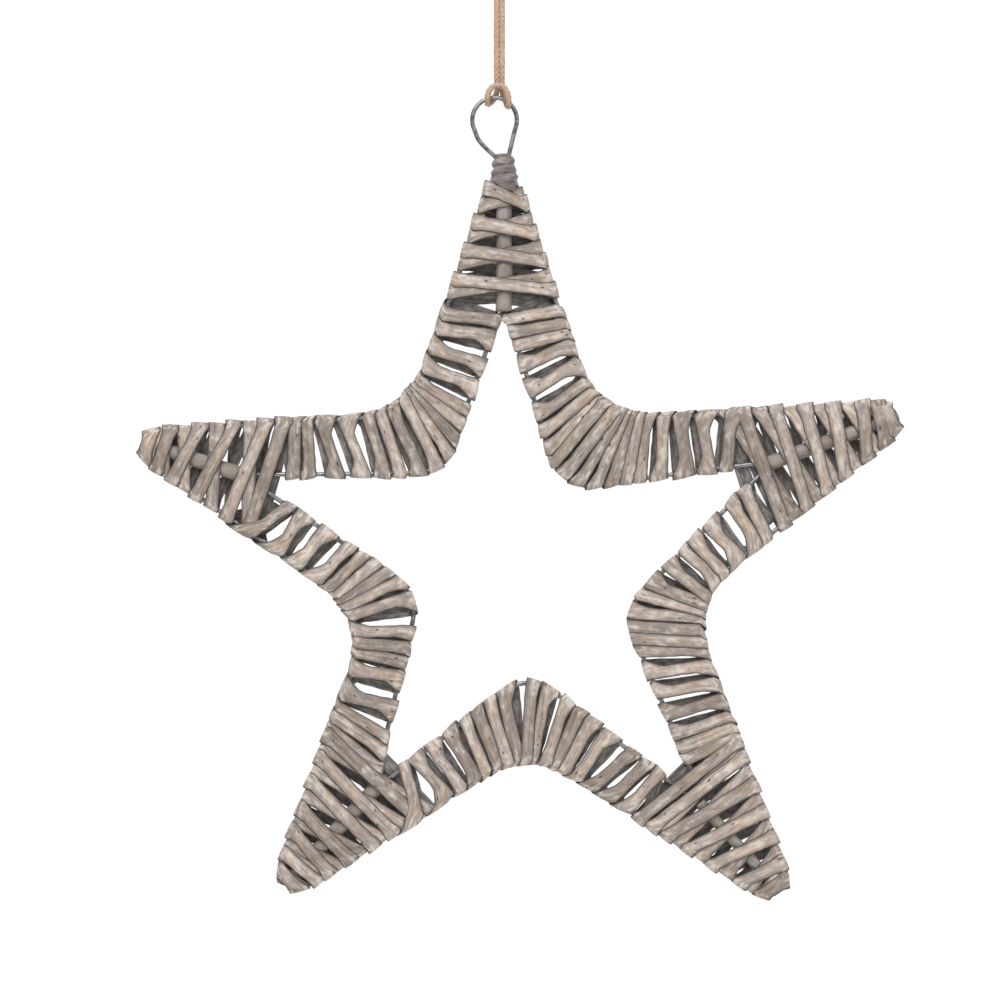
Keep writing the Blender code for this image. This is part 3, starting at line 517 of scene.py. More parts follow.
def smooth_line(route, spacing):
    """Points a spacing apart on a smooth curve through a route's points, a centripetal spline."""
    padded = np.vstack([2 * route[0] - route[1], route, 2 * route[-1] - route[-2]])
    fine = []
    for p0, p1, p2, p3 in zip(padded, padded[1:], padded[2:], padded[3:]):
        t1 = np.linalg.norm(p1 - p0) ** 0.5
        t2 = t1 + np.linalg.norm(p2 - p1) ** 0.5
        t3 = t2 + np.linalg.norm(p3 - p2) ** 0.5
        t = np.linspace(t1, t2, SMOOTH_STEPS, endpoint=False)[:, None]
        a1 = (t1 - t) / t1 * p0 + t / t1 * p1
        a2 = (t2 - t) / (t2 - t1) * p1 + (t - t1) / (t2 - t1) * p2
        a3 = (t3 - t) / (t3 - t2) * p2 + (t - t2) / (t3 - t2) * p3
        b1 = (t2 - t) / t2 * a1 + t / t2 * a2
        b2 = (t3 - t) / (t3 - t1) * a2 + (t - t1) / (t3 - t1) * a3
        fine.append((t2 - t) / (t2 - t1) * b1 + (t - t1) / (t2 - t1) * b2)
    return evenly(np.vstack(fine + [route[-1:]]), spacing)


def wavering(rng, count, reach, step):
    """A smooth random value at each of count places, about plus or minus reach: a sum of slow sine waves,
    which go on by a step from place to place."""
    at = np.arange(count)[:, None] * step
    waves = rng.uniform(*WAVE_SPEEDS, WAVES)
    phases = rng.uniform(0, 2 * math.pi, WAVES)
    return reach * np.sin(at * waves + phases).sum(axis=1) / WAVE_SHARE


def band_faces(rows, columns, closed):
    """Quads between the rows of a grid whose columns close on themselves, with a face on each open end."""
    row = np.arange(rows if closed else rows - 1)[:, None]
    column = np.arange(columns)[None, :]
    onward, beside = (row + 1) % rows * columns, (column + 1) % columns
    row = row * columns
    quads = np.stack([row + column, row + beside, onward + beside, onward + column], axis=-1)
    faces = quads.reshape(-1, 4).tolist()
    if not closed:
        faces.append(list(range(columns))[::-1])
        faces.append([(rows - 1) * columns + i for i in range(columns)])
    return faces


def volume(mesh):
    """A mesh's volume, negative where its faces point in: the sum of the cones from one point to them."""
    points = np.empty(len(mesh.vertices) * 3, np.float32)
    mesh.vertices.foreach_get("co", points)
    mesh.calc_loop_triangles()
    corners = np.empty(len(mesh.loop_triangles) * 3, np.int32)
    mesh.loop_triangles.foreach_get("vertices", corners)
    a, b, c = points.reshape(-1, 3)[corners.reshape(-1, 3)].transpose(1, 0, 2) - points[:3]
    return np.einsum("ij,ij->i", a, np.cross(b, c)).sum() / 6


def add_band(name, node, points, material, maps, values=None, closed=False):
    """A piece in place of a node, from a grid of points whose columns close on themselves, and its rows too
    if closed. maps are the two places on its own map, and values its named numbers a point. Its faces are
    turned outwards. It rides on the root."""
    shape = points.shape[:2]
    mesh = bpy.data.meshes.new(name)
    mesh.from_pydata(points.reshape(-1, 3).tolist(), [], band_faces(*shape, closed))
    corners = np.empty(len(mesh.loops), np.int32)
    mesh.loops.foreach_get("vertex_index", corners)
    places = np.stack([np.broadcast_to(place, shape) for place in maps], axis=-1).reshape(-1, 2)
    layer = mesh.uv_layers.new(name="Along")
    layer.uv.foreach_set("vector", places[corners].astype(np.float32).ravel())
    for label, numbers in (values or {}).items():
        attribute = mesh.attributes.new(label, "FLOAT", "POINT")
        attribute.data.foreach_set("value", np.broadcast_to(numbers, shape).astype(np.float32).ravel())
    sides = np.empty(len(mesh.polygons), np.int32)
    mesh.polygons.foreach_get("loop_total", sides)
    mesh.polygons.foreach_set("use_smooth", sides <= 4)
    mesh.update()
    mesh.validate()
    if volume(mesh) < 0:
        mesh.flip_normals()
    mesh.materials.append(material)
    piece = bpy.data.objects.new(name, mesh)
    bpy.context.scene.collection.objects.link(piece)
    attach(piece, "root")
    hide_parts(node)
    return piece


def frames_along(line, closed):
    """Two directions square to a line at each point, carried on without twist from one to the next."""
    if closed:
        tangent = unit(np.roll(line, -1, axis=0) - np.roll(line, 1, axis=0))
    else:
        tangent = unit(np.gradient(line, axis=0))
    side = np.empty_like(line)
    reference = np.array([0.0, 1.0, 0.0]) if abs(tangent[0, 1]) < 0.9 else np.array([1.0, 0.0, 0.0])
    side[0] = unit(reference - tangent[0] * (reference @ tangent[0]))
    for i in range(1, len(line)):
        side[i] = unit(side[i - 1] - tangent[i] * (side[i - 1] @ tangent[i]))
    return side, np.cross(tangent, side)


def tube(name, node, line, radius, material, sides, closed=False, groove=0.0):
    """A tube whose radius may change along its line. With a groove, its section has three strands, which turn
    once round the line in each lay length: radius * (1 - groove + groove * |cos(1.5 * angle)| ** 0.7)."""
    gone = gone_along(line)[:, None]
    side, other = frames_along(line, closed)
    angle = round_turn(sides)
    size = np.broadcast_to(np.asarray(radius, float).reshape(-1, 1), gone.shape)
    if groove:
        strand = STRANDS / 2 * (angle - 2 * math.pi * gone / LAY_LENGTH)
        size = size * (1 - groove + groove * np.abs(np.cos(strand)) ** 0.7)
    sideways = (np.cos(angle) * size)[..., None] * side[:, None]
    points = line[:, None] + (sideways + (np.sin(angle) * size)[..., None] * other[:, None])
    maps = (angle / (2 * math.pi), gone * 100)
    return add_band(name, node, points, material, maps, closed=closed)


class Ribbon:
    """A split strip laid in runs: its two edges, how far each stands off what it lies on, how round its face
    is, how near it is to a fold, and its tone."""

    def __init__(self):
        self.rows = []

    def lay(self, edges, lift, crown, fold, tone):
        """Adds rows of stations between two edges. lift may have a value for each station and edge."""
        count = len(edges[0])
        numbers = [np.broadcast_to(value, count)[:, None] for value in (crown, fold, tone)]
        self.rows.append(np.hstack([*edges, np.broadcast_to(lift, (count, 2)), *numbers]))

    def build(self, name, node, sizes, material, seed):
        """The strip as a closed band, flat inside and rounded outside by crown * (1 - across squared). Its
        edges are thinned and waver a little. Its first station faces the back of the star."""
        rng = np.random.default_rng(seed)
        rows = np.vstack(self.rows)
        steps = np.diff((rows[:, :3] + rows[:, 3:6]) / 2, axis=0)
        rows = rows[np.concatenate([[True], np.linalg.norm(steps, axis=1) > LEAST_STEP])]
        first, second, lift = rows[:, :3], rows[:, 3:6], rows[:, 6:8]
        crowned, fold, tone = (rows[:, i, None] for i in (8, 9, 10))
        middle = (first + second) / 2
        gone = gone_along(middle)
        across = second - first
        width = np.linalg.norm(across, axis=1)
        places = np.arange(0, gone[-1] + 2 * WAVER_SPACING, WAVER_SPACING)
        for edge, way in ((first, -1), (second, 1)):
            waver = np.interp(gone, places, wavering(rng, len(places), *EDGE_WAVER))
            edge += unit(across) * (way * waver)[:, None]
        normal = unit(np.cross(unit(np.gradient(middle, axis=0)), across))
        if normal[0, 1] < 0:
            normal = -normal
        columns = STRIP_COLUMNS[None, :]
        flat = blend(first[:, None], second[:, None], columns[..., None])
        raised = blend(lift[:, :1], lift[:, 1:], columns)
        rounded = sizes.strip_crown * crowned * (1 - (2 * columns - 1) ** 2)
        half = sizes.strip_thickness / 2 * STRIP_FULLNESS[None, :]
        top = flat + normal[:, None] * (raised + rounded + half)[..., None]
        bottom = flat + normal[:, None] * (raised - half)[..., None]
        points = np.concatenate([top, bottom[:, ::-1]], axis=1)
        ring = np.concatenate([STRIP_COLUMNS, STRIP_COLUMNS[::-1]])
        inside = np.repeat([0.0, 1.0], len(STRIP_COLUMNS))
        maps = (ring * width[:, None] * 100, gone[:, None] * 100)
        values = {"across": 2 * ring - 1, "inside": inside, "fold": fold, "tone": tone}
        return add_band(name, node, points, material, maps, values)


class Value:
    """What a node puts out. Adding to it, taking from it or multiplying it makes a new Math node."""

    def __init__(self, tree, socket):
        self.tree, self.socket = tree, socket

    def __add__(self, other):
        return self.tree.math("ADD", self, other)

    def __sub__(self, other):
        return self.tree.math("SUBTRACT", self, other)

    def __mul__(self, other):
        return self.tree.math("MULTIPLY", self, other)


class Tree:
    """A short way to write a node tree: each call adds a node and joins its inputs by name or number."""

    def __init__(self, tree):
        self.tree = tree

    def node(self, kind, settings=None, **inputs):
        """A new node. An input is named with _ for each blank, or by _ and its number."""
        node = self.tree.nodes.new(kind)
        for key, value in (settings or {}).items():
            setattr(node, key, value)
        for key, value in inputs.items():
            self.join(node, int(key[1:]) if key[0] == "_" else key.replace("_", " "), value)
        return node

    def join(self, node, key, value):
        """Links a value to an input, or sets it to a number or a colour."""
        target = node.inputs[key]
        if isinstance(value, Value):
            self.tree.links.new(value.socket, target)
        else:
            target.default_value = (*value, 1.0) if isinstance(value, Color) else value

    def value(self, kind, settings=None, out=0, **inputs):
        return Value(self, self.node(kind, settings, **inputs).outputs[out])

    def math(self, operation, first, second=0.0):
        return self.value("ShaderNodeMath", {"operation": operation}, _0=first, _1=second)

    def vector(self, x, y, z):
        return self.value("ShaderNodeCombineXYZ", X=x, Y=y, Z=z)

    def noise(self, vector, scale, detail=2.0, rough=0.5):
        inputs = {"Vector": vector, "Scale": scale, "Detail": detail, "Roughness": rough}
        return self.value("ShaderNodeTexNoise", out="Fac", **inputs)

    def steps(self, value, low, high, out_low=0.0, out_high=1.0):
        """The value eased from one range to another."""
        limits = {"From_Min": low, "From_Max": high, "To_Min": out_low, "To_Max": out_high}
        return self.value("ShaderNodeMapRange", {"interpolation_type": "SMOOTHSTEP"}, Value=value, **limits)

    def layers(self, base, *over):
        """The base colour with others over it, each given as its share, its colour and, if it isn't plainly
        laid over, how it mixes."""
        for share, colour, *kind in over:
            settings = {"data_type": "RGBA", "blend_type": kind[0] if kind else "MIX"}
            base = self.value("ShaderNodeMix", settings, 2, _0=share, _6=base, _7=colour)
        return base

    def own_map(self):
        """The places on a piece's own map, across or round it and along it, in centimetres."""
        place = self.value("ShaderNodeUVMap", {"uv_map": "Along"})
        split = self.node("ShaderNodeSeparateXYZ", Vector=place)
        return Value(self, split.outputs["X"]), Value(self, split.outputs["Y"])

    def grain(self, across, along, tone):
        """The fine streaks, broad streaks, patches and specks of the shared wood grain."""
        settings = {"node_tree": grain_group()}
        group = self.node("ShaderNodeGroup", settings, Across=across, Along=along, Tone=tone)
        return [Value(self, output) for output in group.outputs]

    def surface(self, shader, height, depth, strength, **inputs):
        """Joins a shader's inputs, and the height to its normal by a bump as deep as given."""
        inputs["Normal"] = self.value("ShaderNodeBump", Height=height, Distance=depth, Strength=strength)
        for key, value in inputs.items():
            self.join(shader, key.replace("_", " "), value)


def grain_group():
    """The grain of split wood on a strip's own map, shared by every willow material: fine streaks along it,
    broad streaks, cloudy patches, and small dark specks. Lengths are in centimetres."""
    group = bpy.data.node_groups.get("Willow grain")
    if group:
        return group
    group = bpy.data.node_groups.new("Willow grain", "ShaderNodeTree")
    for way, names in (("INPUT", "Across Along Tone"), ("OUTPUT", "Fine Streaks Patches Specks")):
        for name in names.split():
            group.interface.new_socket(name, in_out=way, socket_type="NodeSocketFloat")
    tree = Tree(group)
    given = tree.node("NodeGroupInput")
    across, along, tone = (Value(tree, given.outputs[i]) for i in range(3))

    def stretched(finer_across, finer_along):
        return tree.vector(across * finer_across, along * finer_along, tone)

    cell = tree.node("ShaderNodeTexVoronoi", {"feature": "F1"}, Vector=stretched(4.4, 2.1), Scale=1.0)
    chance = tree.value("ShaderNodeSeparateColor", Color=Value(tree, cell.outputs["Color"]))
    size = tree.steps(chance, 0.72, 1.0, 0.0, 0.3)
    specks = tree.steps(Value(tree, cell.outputs["Distance"]) - size, -0.12, 0.02, 1.0, 0.0)
    tree.node(
        "NodeGroupOutput",
        Fine=tree.noise(stretched(30.0, 1.3), 1.0, 3),
        Streaks=tree.noise(stretched(8.5, 0.42), 1.0, 2),
        Patches=tree.noise(stretched(1.7, 0.9), 1.0, 3),
        Specks=specks * tree.steps(chance, 0.7, 0.74),
    )
    return group


def made_once(name, lay_out):
    """The material of this name. lay_out builds it when it is first asked for."""
    material = bpy.data.materials.get(name)
    if not material:
        material = bpy.data.materials.new(name)
        material.use_nodes = True
        shader = material.node_tree.nodes["Principled BSDF"]
        lay_out(Tree(material.node_tree), shader, bpy.context.scene.wicker_star_colours)
    return material


def washed_willow(tree, shader, colours):
    """Washed split willow: grey-beige with streaks along the strip, painted shade of its rounded face darker
    towards its edges and a thin dark line of painted shade along each, painted highlights pale at the corners
    of its folds, and darker inner wood that is partly painted shade."""
    across, inside, fold, tone = (
        tree.value("ShaderNodeAttribute", {"attribute_name": name}, "Fac")
        for name in ("across", "inside", "fold", "tone")
    )
    x, y = tree.own_map()
    fine, streaks, patches, specks = tree.grain(x, y, tone * 23.0)
    wash = tree.noise(tree.vector(x, y, 4.0), 0.8, 2)
    mottle = tree.noise(tree.vector(x * 4.2, y * 2.1, tone * 11.0), 1.0, 2)
    off_middle = tree.math("ABSOLUTE", across)
    worn = tree.steps(mottle, 0.5, 0.68) * tree.steps(patches, 0.48, 0.66)
    # Painted highlight: paler on the folds round the wires and near the ends of the runs, broken up by the
    # mottle
    fold_highlight = fold * tree.steps(mottle, 0.48, 0.66)
    # The inner face: darker wood of its own, and partly painted shade where it faces the wires
    inner = tree.layers(
        colours.inner_wood_and_shade,
        (tree.steps(streaks, 0.3, 0.7), colours.inner_dark),
        (1.0, tree.steps(mottle, 0.3, 0.7, 0.65, 1.35), "MULTIPLY"),
    )
    base = tree.layers(
        colours.willow_warm,
        (tree.steps(patches, 0.36, 0.64), colours.willow_pale),
        (tree.steps(wash, 0.4, 0.62, 0.0, 0.7), colours.willow_mauve),
        (tree.steps(streaks, 0.42, 0.72, 0.0, 0.65), colours.willow_mid_and_crown_shade),
        (tree.steps(fine, 0.5, 0.78, 0.0, 0.5), colours.willow_dark),
        (1.0, tone * 0.56 + 0.74, "MULTIPLY"),
        (1.0, tree.steps(mottle, 0.3, 0.7, 0.8, 1.18), "MULTIPLY"),
        # Painted shade: darker from near the middle out to the edges, the shade of the strip's rounded face
        (tree.steps(off_middle, 0.28, 1.0, 0.0, 0.85), colours.willow_mid_and_crown_shade),
        (worn * 0.55, colours.willow_pale_wear_and_highlight),
        (specks * 0.75, colours.willow_speck),
        # Painted highlight at the folds, in the colour that also shows the pale patches of wear
        (fold_highlight * 0.65, colours.willow_pale_wear_and_highlight),
        # Painted shade: a thin dark line along each edge, for the shade of the strip's thickness and the
        # shadow it casts
        (tree.steps(off_middle, 0.76, 0.98, 0.0, 0.85), colours.willow_edge_shade),
        # The inner face, partly painted shade
        (inside, inner),
    )
    roughness = tree.steps(fine, 0.3, 0.7, 0.5, 0.75)
    height = fine * 0.6 + streaks * 0.8 - specks * 0.5
    tree.surface(shader, height, 0.3 * MM, 0.8, Base_Color=base, Roughness=roughness, Specular_IOR_Level=0.4)


def grey_cane(tree, shader, colours):
    """Grey willow bark: fine grain along the cane, grey and brown patches."""
    x, y = tree.own_map()
    fine, streaks, patches, specks = tree.grain(x * 2.4, y, 3.7)
    base = tree.layers(
        colours.cane_grey,
        (tree.steps(patches, 0.3, 0.7), colours.cane_brown),
        (tree.steps(fine, 0.42, 0.75, 0.0, 0.5), colours.willow_dark),
        (specks * 0.5, colours.willow_speck),
    )
    tree.surface(shader, fine * 0.6 + streaks, 0.3 * MM, 0.8, Base_Color=base, Roughness=0.62)


def wound_fibre(tree, shader, colours):
    """Dark wound willow fibre: strands along the wrap with pale flecks."""
    x, y = tree.own_map()
    fine, streaks, patches, _ = tree.grain(x * 1.2, y, 9.1)
    base = tree.layers(
        colours.binding_dark,
        (tree.steps(patches, 0.3, 0.7), colours.binding_pale),
        (tree.steps(fine, 0.5, 0.75, 0.0, 0.7), colours.willow_speck),
    )
    tree.surface(shader, fine + streaks, 0.6 * MM, 1.0, Base_Color=base, Roughness=0.6)


def zinc_wire(tree, shader, colours):
    """Dull zinc wire: metal with soft cloudy tarnish and faint drawing marks."""
    place = tree.value("ShaderNodeTexCoord", out="Object")
    cloud = tree.noise(place, 420.0, 3)
    marks = tree.noise(place, 2600.0, 2)
    base = tree.layers(colours.zinc_dark, (tree.steps(cloud, 0.35, 0.65), colours.zinc_light))
    roughness = tree.steps(cloud, 0.3, 0.7, 0.3, 0.48)
    tree.surface(shader, marks, 0.08 * MM, 0.5, Base_Color=base, Roughness=roughness, Metallic=1.0)


def jute_twine(tree, shader, colours):
    """Jute twine: fibres that follow the lay of the strands, pale gold over a darker base that stands partly
    for darker fibre and partly for painted shade in the hollows between them.
    """
    around, along = tree.own_map()
    angle = (around - along * 1.25) * (2 * math.pi)
    ring = (tree.math("COSINE", angle) * 7.0, tree.math("SINE", angle) * 7.0)
    fibre = tree.noise(tree.vector(*ring, along * 2.0), 1.0, 4, 0.7)
    tuft = tree.noise(tree.vector(*ring, along * 7.0), 0.35, 3)
    base = tree.layers(
        # The darker base: partly darker fibre, partly painted shade in the hollows between the fibres
        colours.jute_dark_and_hollow_shade,
        (tree.steps(fibre, 0.35, 0.65), colours.jute_light),
        (tree.steps(tuft, 0.5, 0.75, 0.0, 0.5), colours.jute_pale),
    )
    finish = {"Base_Color": base, "Roughness": 0.9, "Specular_IOR_Level": 0.25}
    tree.surface(shader, fibre + tuft * 0.6, 0.5 * MM, 1.0, **finish)


def pale_floor(tree, shader, colours):
    """A plain matt floor, a little uneven in its gloss."""
    place = tree.value("ShaderNodeTexCoord", out="Object")
    tree.join(shader, "Base Color", colours.floor)
    tree.join(shader, "Roughness", tree.steps(tree.noise(place, 6.0), 0.3, 0.7, 0.75, 0.85))


def length_property(name, description, default, low, high):
    """A length given in millimetres."""
    limits = {"default": default * MM, "min": low * MM, "max": high * MM}
    return FloatProperty(name=name, description=description, subtype="DISTANCE", unit="LENGTH", **limits)


def colour_property(name, description, default):
    """A colour as its red, green and blue."""
    limits = {"default": default, "size": 3, "min": 0.0, "max": 1.0}
    return FloatVectorProperty(name=name, description=description, subtype="COLOR", **limits)


class StarSizes(PropertyGroup):
    """Sizes of the strips."""

    strip_width: length_property("Strip width", "Width of the split willow strips", 6.8, 3, 12)
    tip_strip_width: length_property("Tip strip width", "Width of the strips round the tips", 7.3, 3, 12)
    strip_thickness: length_property("Strip thickness", "Thickness of the willow strips", 0.5, 0.2, 1.2)
    strip_crown: length_property("Strip crown", "How far a strip's middle stands above its edges", 0.55, 0, 1)
    strip_clearance: length_property("Strip clearance", "Gap between a strip and its wire", 0.12, 0.05, 0.5)


class StarColours(PropertyGroup):
    """Colours of the willow, the zinc and the jute."""

    willow_pale: colour_property("Pale willow", "The palest patches of a strip", (0.72, 0.63, 0.55))
    willow_warm: colour_property("Warm willow", "The warm patches of a strip", (0.60, 0.47, 0.37))
    willow_mauve: colour_property("Washed willow", "The grey-mauve wash of a strip", (0.53, 0.455, 0.43))
    # Also used for the painted shade towards a strip's edges
    willow_mid_and_crown_shade: colour_property("Mid willow", "The middle tone of a strip", (0.30, 0.25, 0.215))
    willow_dark: colour_property("Dark willow", "The darkest grain of a strip", (0.155, 0.125, 0.105))
    # Pale patches of wear, and also the painted highlight at the folds
    willow_pale_wear_and_highlight: colour_property("Rubbed willow", "Where a strip is rubbed pale", (0.90, 0.83, 0.77))
    willow_speck: colour_property("Willow specks", "Small dark specks", (0.07, 0.045, 0.033))
    # Painted shade: the thin dark line along a strip's edges stands for the shade of its thickness, not for
    # wear
    willow_edge_shade: colour_property("Strip edges", "The worn, darker edges of a strip", (0.05, 0.042, 0.038))
    # Partly the inner wood's own colour, partly painted shade on the inner face
    inner_wood_and_shade: colour_property("Inner wood", "The inner face of a strip", (0.34, 0.315, 0.295))
    inner_dark: colour_property("Dark inner wood", "Darker streaks on the inner face", (0.18, 0.16, 0.15))
    cane_grey: colour_property("Grey bark", "The grey of the canes' bark", (0.52, 0.485, 0.45))
    cane_brown: colour_property("Brown bark", "The brown of the canes' bark", (0.40, 0.335, 0.285))
    binding_pale: colour_property("Pale binding", "The paler fibres of the top binding", (0.52, 0.45, 0.42))
    binding_dark: colour_property("Dark binding", "The darker fibres of the top binding", (0.25, 0.21, 0.195))
    zinc_light: colour_property("Bright zinc", "The brighter zinc", (0.44, 0.44, 0.45))
    zinc_dark: colour_property("Dull zinc", "The tarnished zinc", (0.22, 0.22, 0.23))
    jute_light: colour_property("Jute", "The jute's main colour", (0.93, 0.69, 0.50))
    # Partly darker fibre, partly painted shade in the hollows between the fibres
    jute_dark_and_hollow_shade: colour_property("Dark jute", "Hollows between the jute's strands", (0.62, 0.42, 0.28))
    jute_pale: colour_property("Pale jute", "Pale loose fibres of the jute", (0.97, 0.83, 0.68))
    floor: colour_property("Floor", "The pale floor of the stage", (0.9, 0.9, 0.89))


def taut_height(x, span, foot_height, cane_height):
    """How high a strip stands that is pulled taut from a wire at span over a round cane in the middle: the
    circle of the cane's height near the middle, and outside that the straight line from it to the wire."""
    away = np.hypot(span, foot_height)
    leaves = np.arctan2(foot_height, span) + np.arccos(np.clip(cane_height / away, -1, 1))
    touch_x, touch_h = cane_height * np.cos(leaves), cane_height * np.sin(leaves)
    x = np.abs(x)
    on_cane = np.sqrt(np.maximum(cane_height**2 - x**2, 0))
    share = np.clip((x - touch_x) / np.maximum(span - touch_x, 1e-9), 0, 1)
    return np.where(x < touch_x, on_cane, touch_h + (foot_height - touch_h) * share)


def part_run(start, end, shares):
    """The two edges of part of a straight run, between the given shares of it."""
    return [blend(start[edge], end[edge], shares) for edge in (0, 1)]


def flared(start, end, spread_start, spread_end, shares, reach_start, reach_end):
    """The two edges of a run, straight from one fold to the next and flared near both ends: towards the
    folds' own spread edges over the given reaches."""
    pair = part_run(start, end, shares)
    for edge, line in enumerate(pair):
        length = np.linalg.norm(end[edge] - start[edge])
        near = np.clip(1 - shares * length / reach_start, 0, 1) ** FLARE_POWER
        far = np.clip(1 - (1 - shares) * length / reach_end, 0, 1) ** FLARE_POWER
        opening, closing = spread_start[edge] - start[edge], spread_end[edge] - end[edge]
        pair[edge] = line + near * opening + far * closing
    return pair


def near_folds(shares, reach):
    """How near each place on a run is to the fold at either end: 1 at the fold and 0 past the reach."""
    return np.maximum(np.clip(1 - shares / reach, 0, 1), np.clip(1 - (1 - shares) / reach, 0, 1))


def overlap_lift(places, order, width, thickness):
    """How far each strip's two edges stand off the outer wire where the turns crowd: where two neighbours
    overlap, order says which lies on top, and the edge of the upper one is raised by width / pitch strip
    thicknesses, so it just clears the lower one. The lift eases out where the pitch passes the strip's
    width."""
    pitch = np.diff(places)
    reach = thickness * width / np.maximum(pitch, width * CLOSEST_PITCH)
    ease = np.clip((CLEAR_PITCH * width - pitch) / (EASING_PITCH * width), 0, 1)
    rise = reach * ease**2 * (3 - 2 * ease)
    first_edge = np.concatenate([[0], np.where(order > 0, rise, 0)])
    second_edge = np.concatenate([np.where(order < 0, rise, 0), [0]])
    return np.stack([first_edge, second_edge], axis=1)


def steps_on(places):
    """How far it is from each place to the next one, and from the last one as far again."""
    return np.append(places[1:], 2 * places[-1] - places[-2]) - places


def leg_ribbon(i, sizes, seed):
    """The strip wound round both wires along one leg, round valley i. Each turn is a run in front, a fold
    round the inner wire, a run behind and a fold round the outer wire. A fold leads on along its wire, and
    the strip widens there to cover it."""
    rng = np.random.default_rng(seed)
    front_outer, front_inner = np.array(LEG_WINDINGS[VALLEYS[i].name]).T * MM
    count = len(front_outer)
    middle = {wire: wire.middle_of_bend(2 * i + 1) for wire in (OUTER, INNER)}
    on_outer, on_inner = steps_on(front_outer), steps_on(front_inner)
    back_inner = front_inner + on_inner * (BEHIND_AT_INNER + rng.uniform(-OFF_AT_INNER, OFF_AT_INNER, count))
    back_outer = front_outer + on_outer * (BEHIND_AT_OUTER + rng.uniform(-OFF_AT_OUTER, OFF_AT_OUTER, count))
    before = back_outer[0] - on_outer[0]
    back_inner[-1] = front_inner[-1] + END_AT_INNER * on_inner[-1]
    back_outer[-1] = front_outer[-1] + END_AT_OUTER * on_outer[-1]
    width = sizes.strip_width * rng.uniform(*LEG_WIDTHS, count)
    into_outer = np.append(on_outer[:1], on_outer[:-1])
    spread_outer = np.clip(OUTER_COVER * (into_outer - width), 0, OUTER_COVER_MOST)
    spread_inner = np.clip(INNER_COVER * (on_inner - width), 0, INNER_COVER_MOST)
    tone = rng.uniform(0, 1, count)
    order = np.where(rng.uniform(0, 1, count - 1) < UNDER_SHARE, -1, 1)
    lift = overlap_lift(front_outer, order, sizes.strip_width, sizes.strip_thickness + TURN_ROOM)
    first_lift = FIRST_LIFTS[VALLEYS[i].name] * MM
    lift[0] += first_lift
    crown = np.clip(on_outer / sizes.strip_width, LEAST_CROWN, 1)
    radius = WIRE_DIAMETER / 2 + sizes.strip_clearance + sizes.strip_thickness / 2
    shares = RUN_SHARES[:, None]
    in_run = np.sin(math.pi * RUN_SHARES)
    fold_highlight_share = near_folds(RUN_SHARES, LEG_HIGHLIGHT_REACH)
    ribbon = Ribbon()

    def edges(wire, turned, place, wide, back=0.0, on=0.0):
        """The strip's two edges round a wire, its first one spread back along it and its second one on."""
        turned = np.atleast_1d(turned)
        ends = (place - wide / 2 - back, place + wide / 2 + on)
        return [wire.round(middle[wire] + np.broadcast_to(end, turned.shape), turned, radius) for end in ends]

    def fold(wire, place, wide, spread, lifted, tone_here):
        """Round the inner wire to the back or round the outer one to the front: the onward edge starts spread
        and the other one ends so. One edge stands off more."""
        if wire is INNER:
            turned, slack_edge = TURNED_OVER, SLACK_OVER_INNER
        else:
            turned, slack_edge = TURNED_BACK, SLACK_OVER_OUTER
        slack = rng.permutation([rng.uniform(*SNUG_EDGE), rng.uniform(*slack_edge)]) * MM
        lifted = lifted + np.sin(math.pi * WRAP)[:, None] * slack
        pair = edges(wire, turned, place, wide, spread * WRAP, spread * (1 - WRAP))
        ribbon.lay(pair, lifted, FOLD_CROWN, 1, tone_here)

    def end_run(start, end, part, lifted, tone_here):
        """The strip's loose end behind, a part of a run that stands off or lies in from near its start."""
        part = part[:, None]
        lifted = lifted * np.clip(part / LIFTED_AT, 0, 1)
        ribbon.lay(part_run(start, end, part), lifted, LEAST_CROWN, 0, tone_here)

    for k in range(count):
        wide, raised = width[k], lift[k]
        roll = np.abs(rng.normal(0, EDGE_ROLL, 2))
        bow = (rng.uniform(0, LEG_BOW) * in_run)[:, None]
        onward = min(k + 1, count - 1)
        folds = (
            (OUTER, -90, front_outer[k], wide, spread_outer[k], 0.0),
            (INNER, -90, front_inner[k], wide, 0.0, spread_inner[k]),
            (INNER, 90, back_inner[k], wide, spread_inner[k], 0.0),
            (OUTER, 90, back_outer[k], wide, 0.0, spread_outer[onward]),
        )
        straight = [edges(*place[:4]) for place in folds]
        spread = [edges(*place) for place in folds]
        finish = (crown[k] * blend(CROWN_AT_FOLD, 1, in_run), fold_highlight_share, tone[k])
        if k == 0:
            start = edges(INNER, 90, front_inner[0] + START_AT_INNER * on_inner[0], wide)
            over = edges(OUTER, 90, before, wide, 0.0, spread_outer[0])
            end_run(start, over, START_RUN, first_lift, tone[0])
            fold(OUTER, blend(before, front_outer[0], WRAP), wide, spread_outer[0], first_lift, tone[0])
        pair = flared(*straight[:2], *spread[:2], shares, OUTER_FLARE, INNER_FLARE)
        ribbon.lay(pair, blend(raised, roll, shares) + bow, *finish)
        fold(INNER, blend(front_inner[k], back_inner[k], WRAP), wide, spread_inner[k], 0.0, tone[k])
        if k == count - 1:
            end_run(spread[2], straight[3], END_RUN, LAST_SINK, tone[k])
            break
        pair = flared(*straight[2:], *spread[2:], shares, INNER_FLARE / 2, OUTER_FLARE / 2)
        ribbon.lay(pair, blend(roll, raised, shares) + BOW_BEHIND * bow, *finish)
        eased = WRAP[:, None] ** 2 * (3 - 2 * WRAP[:, None])
        place = blend(back_outer[k], front_outer[k + 1], WRAP)
        wider = blend(width[k], width[k + 1], WRAP)
        lifted = blend(raised, lift[k + 1], eased)
        fold(OUTER, place, wider, spread_outer[k + 1], lifted, blend(tone[k], tone[k + 1], WRAP))
    return ribbon


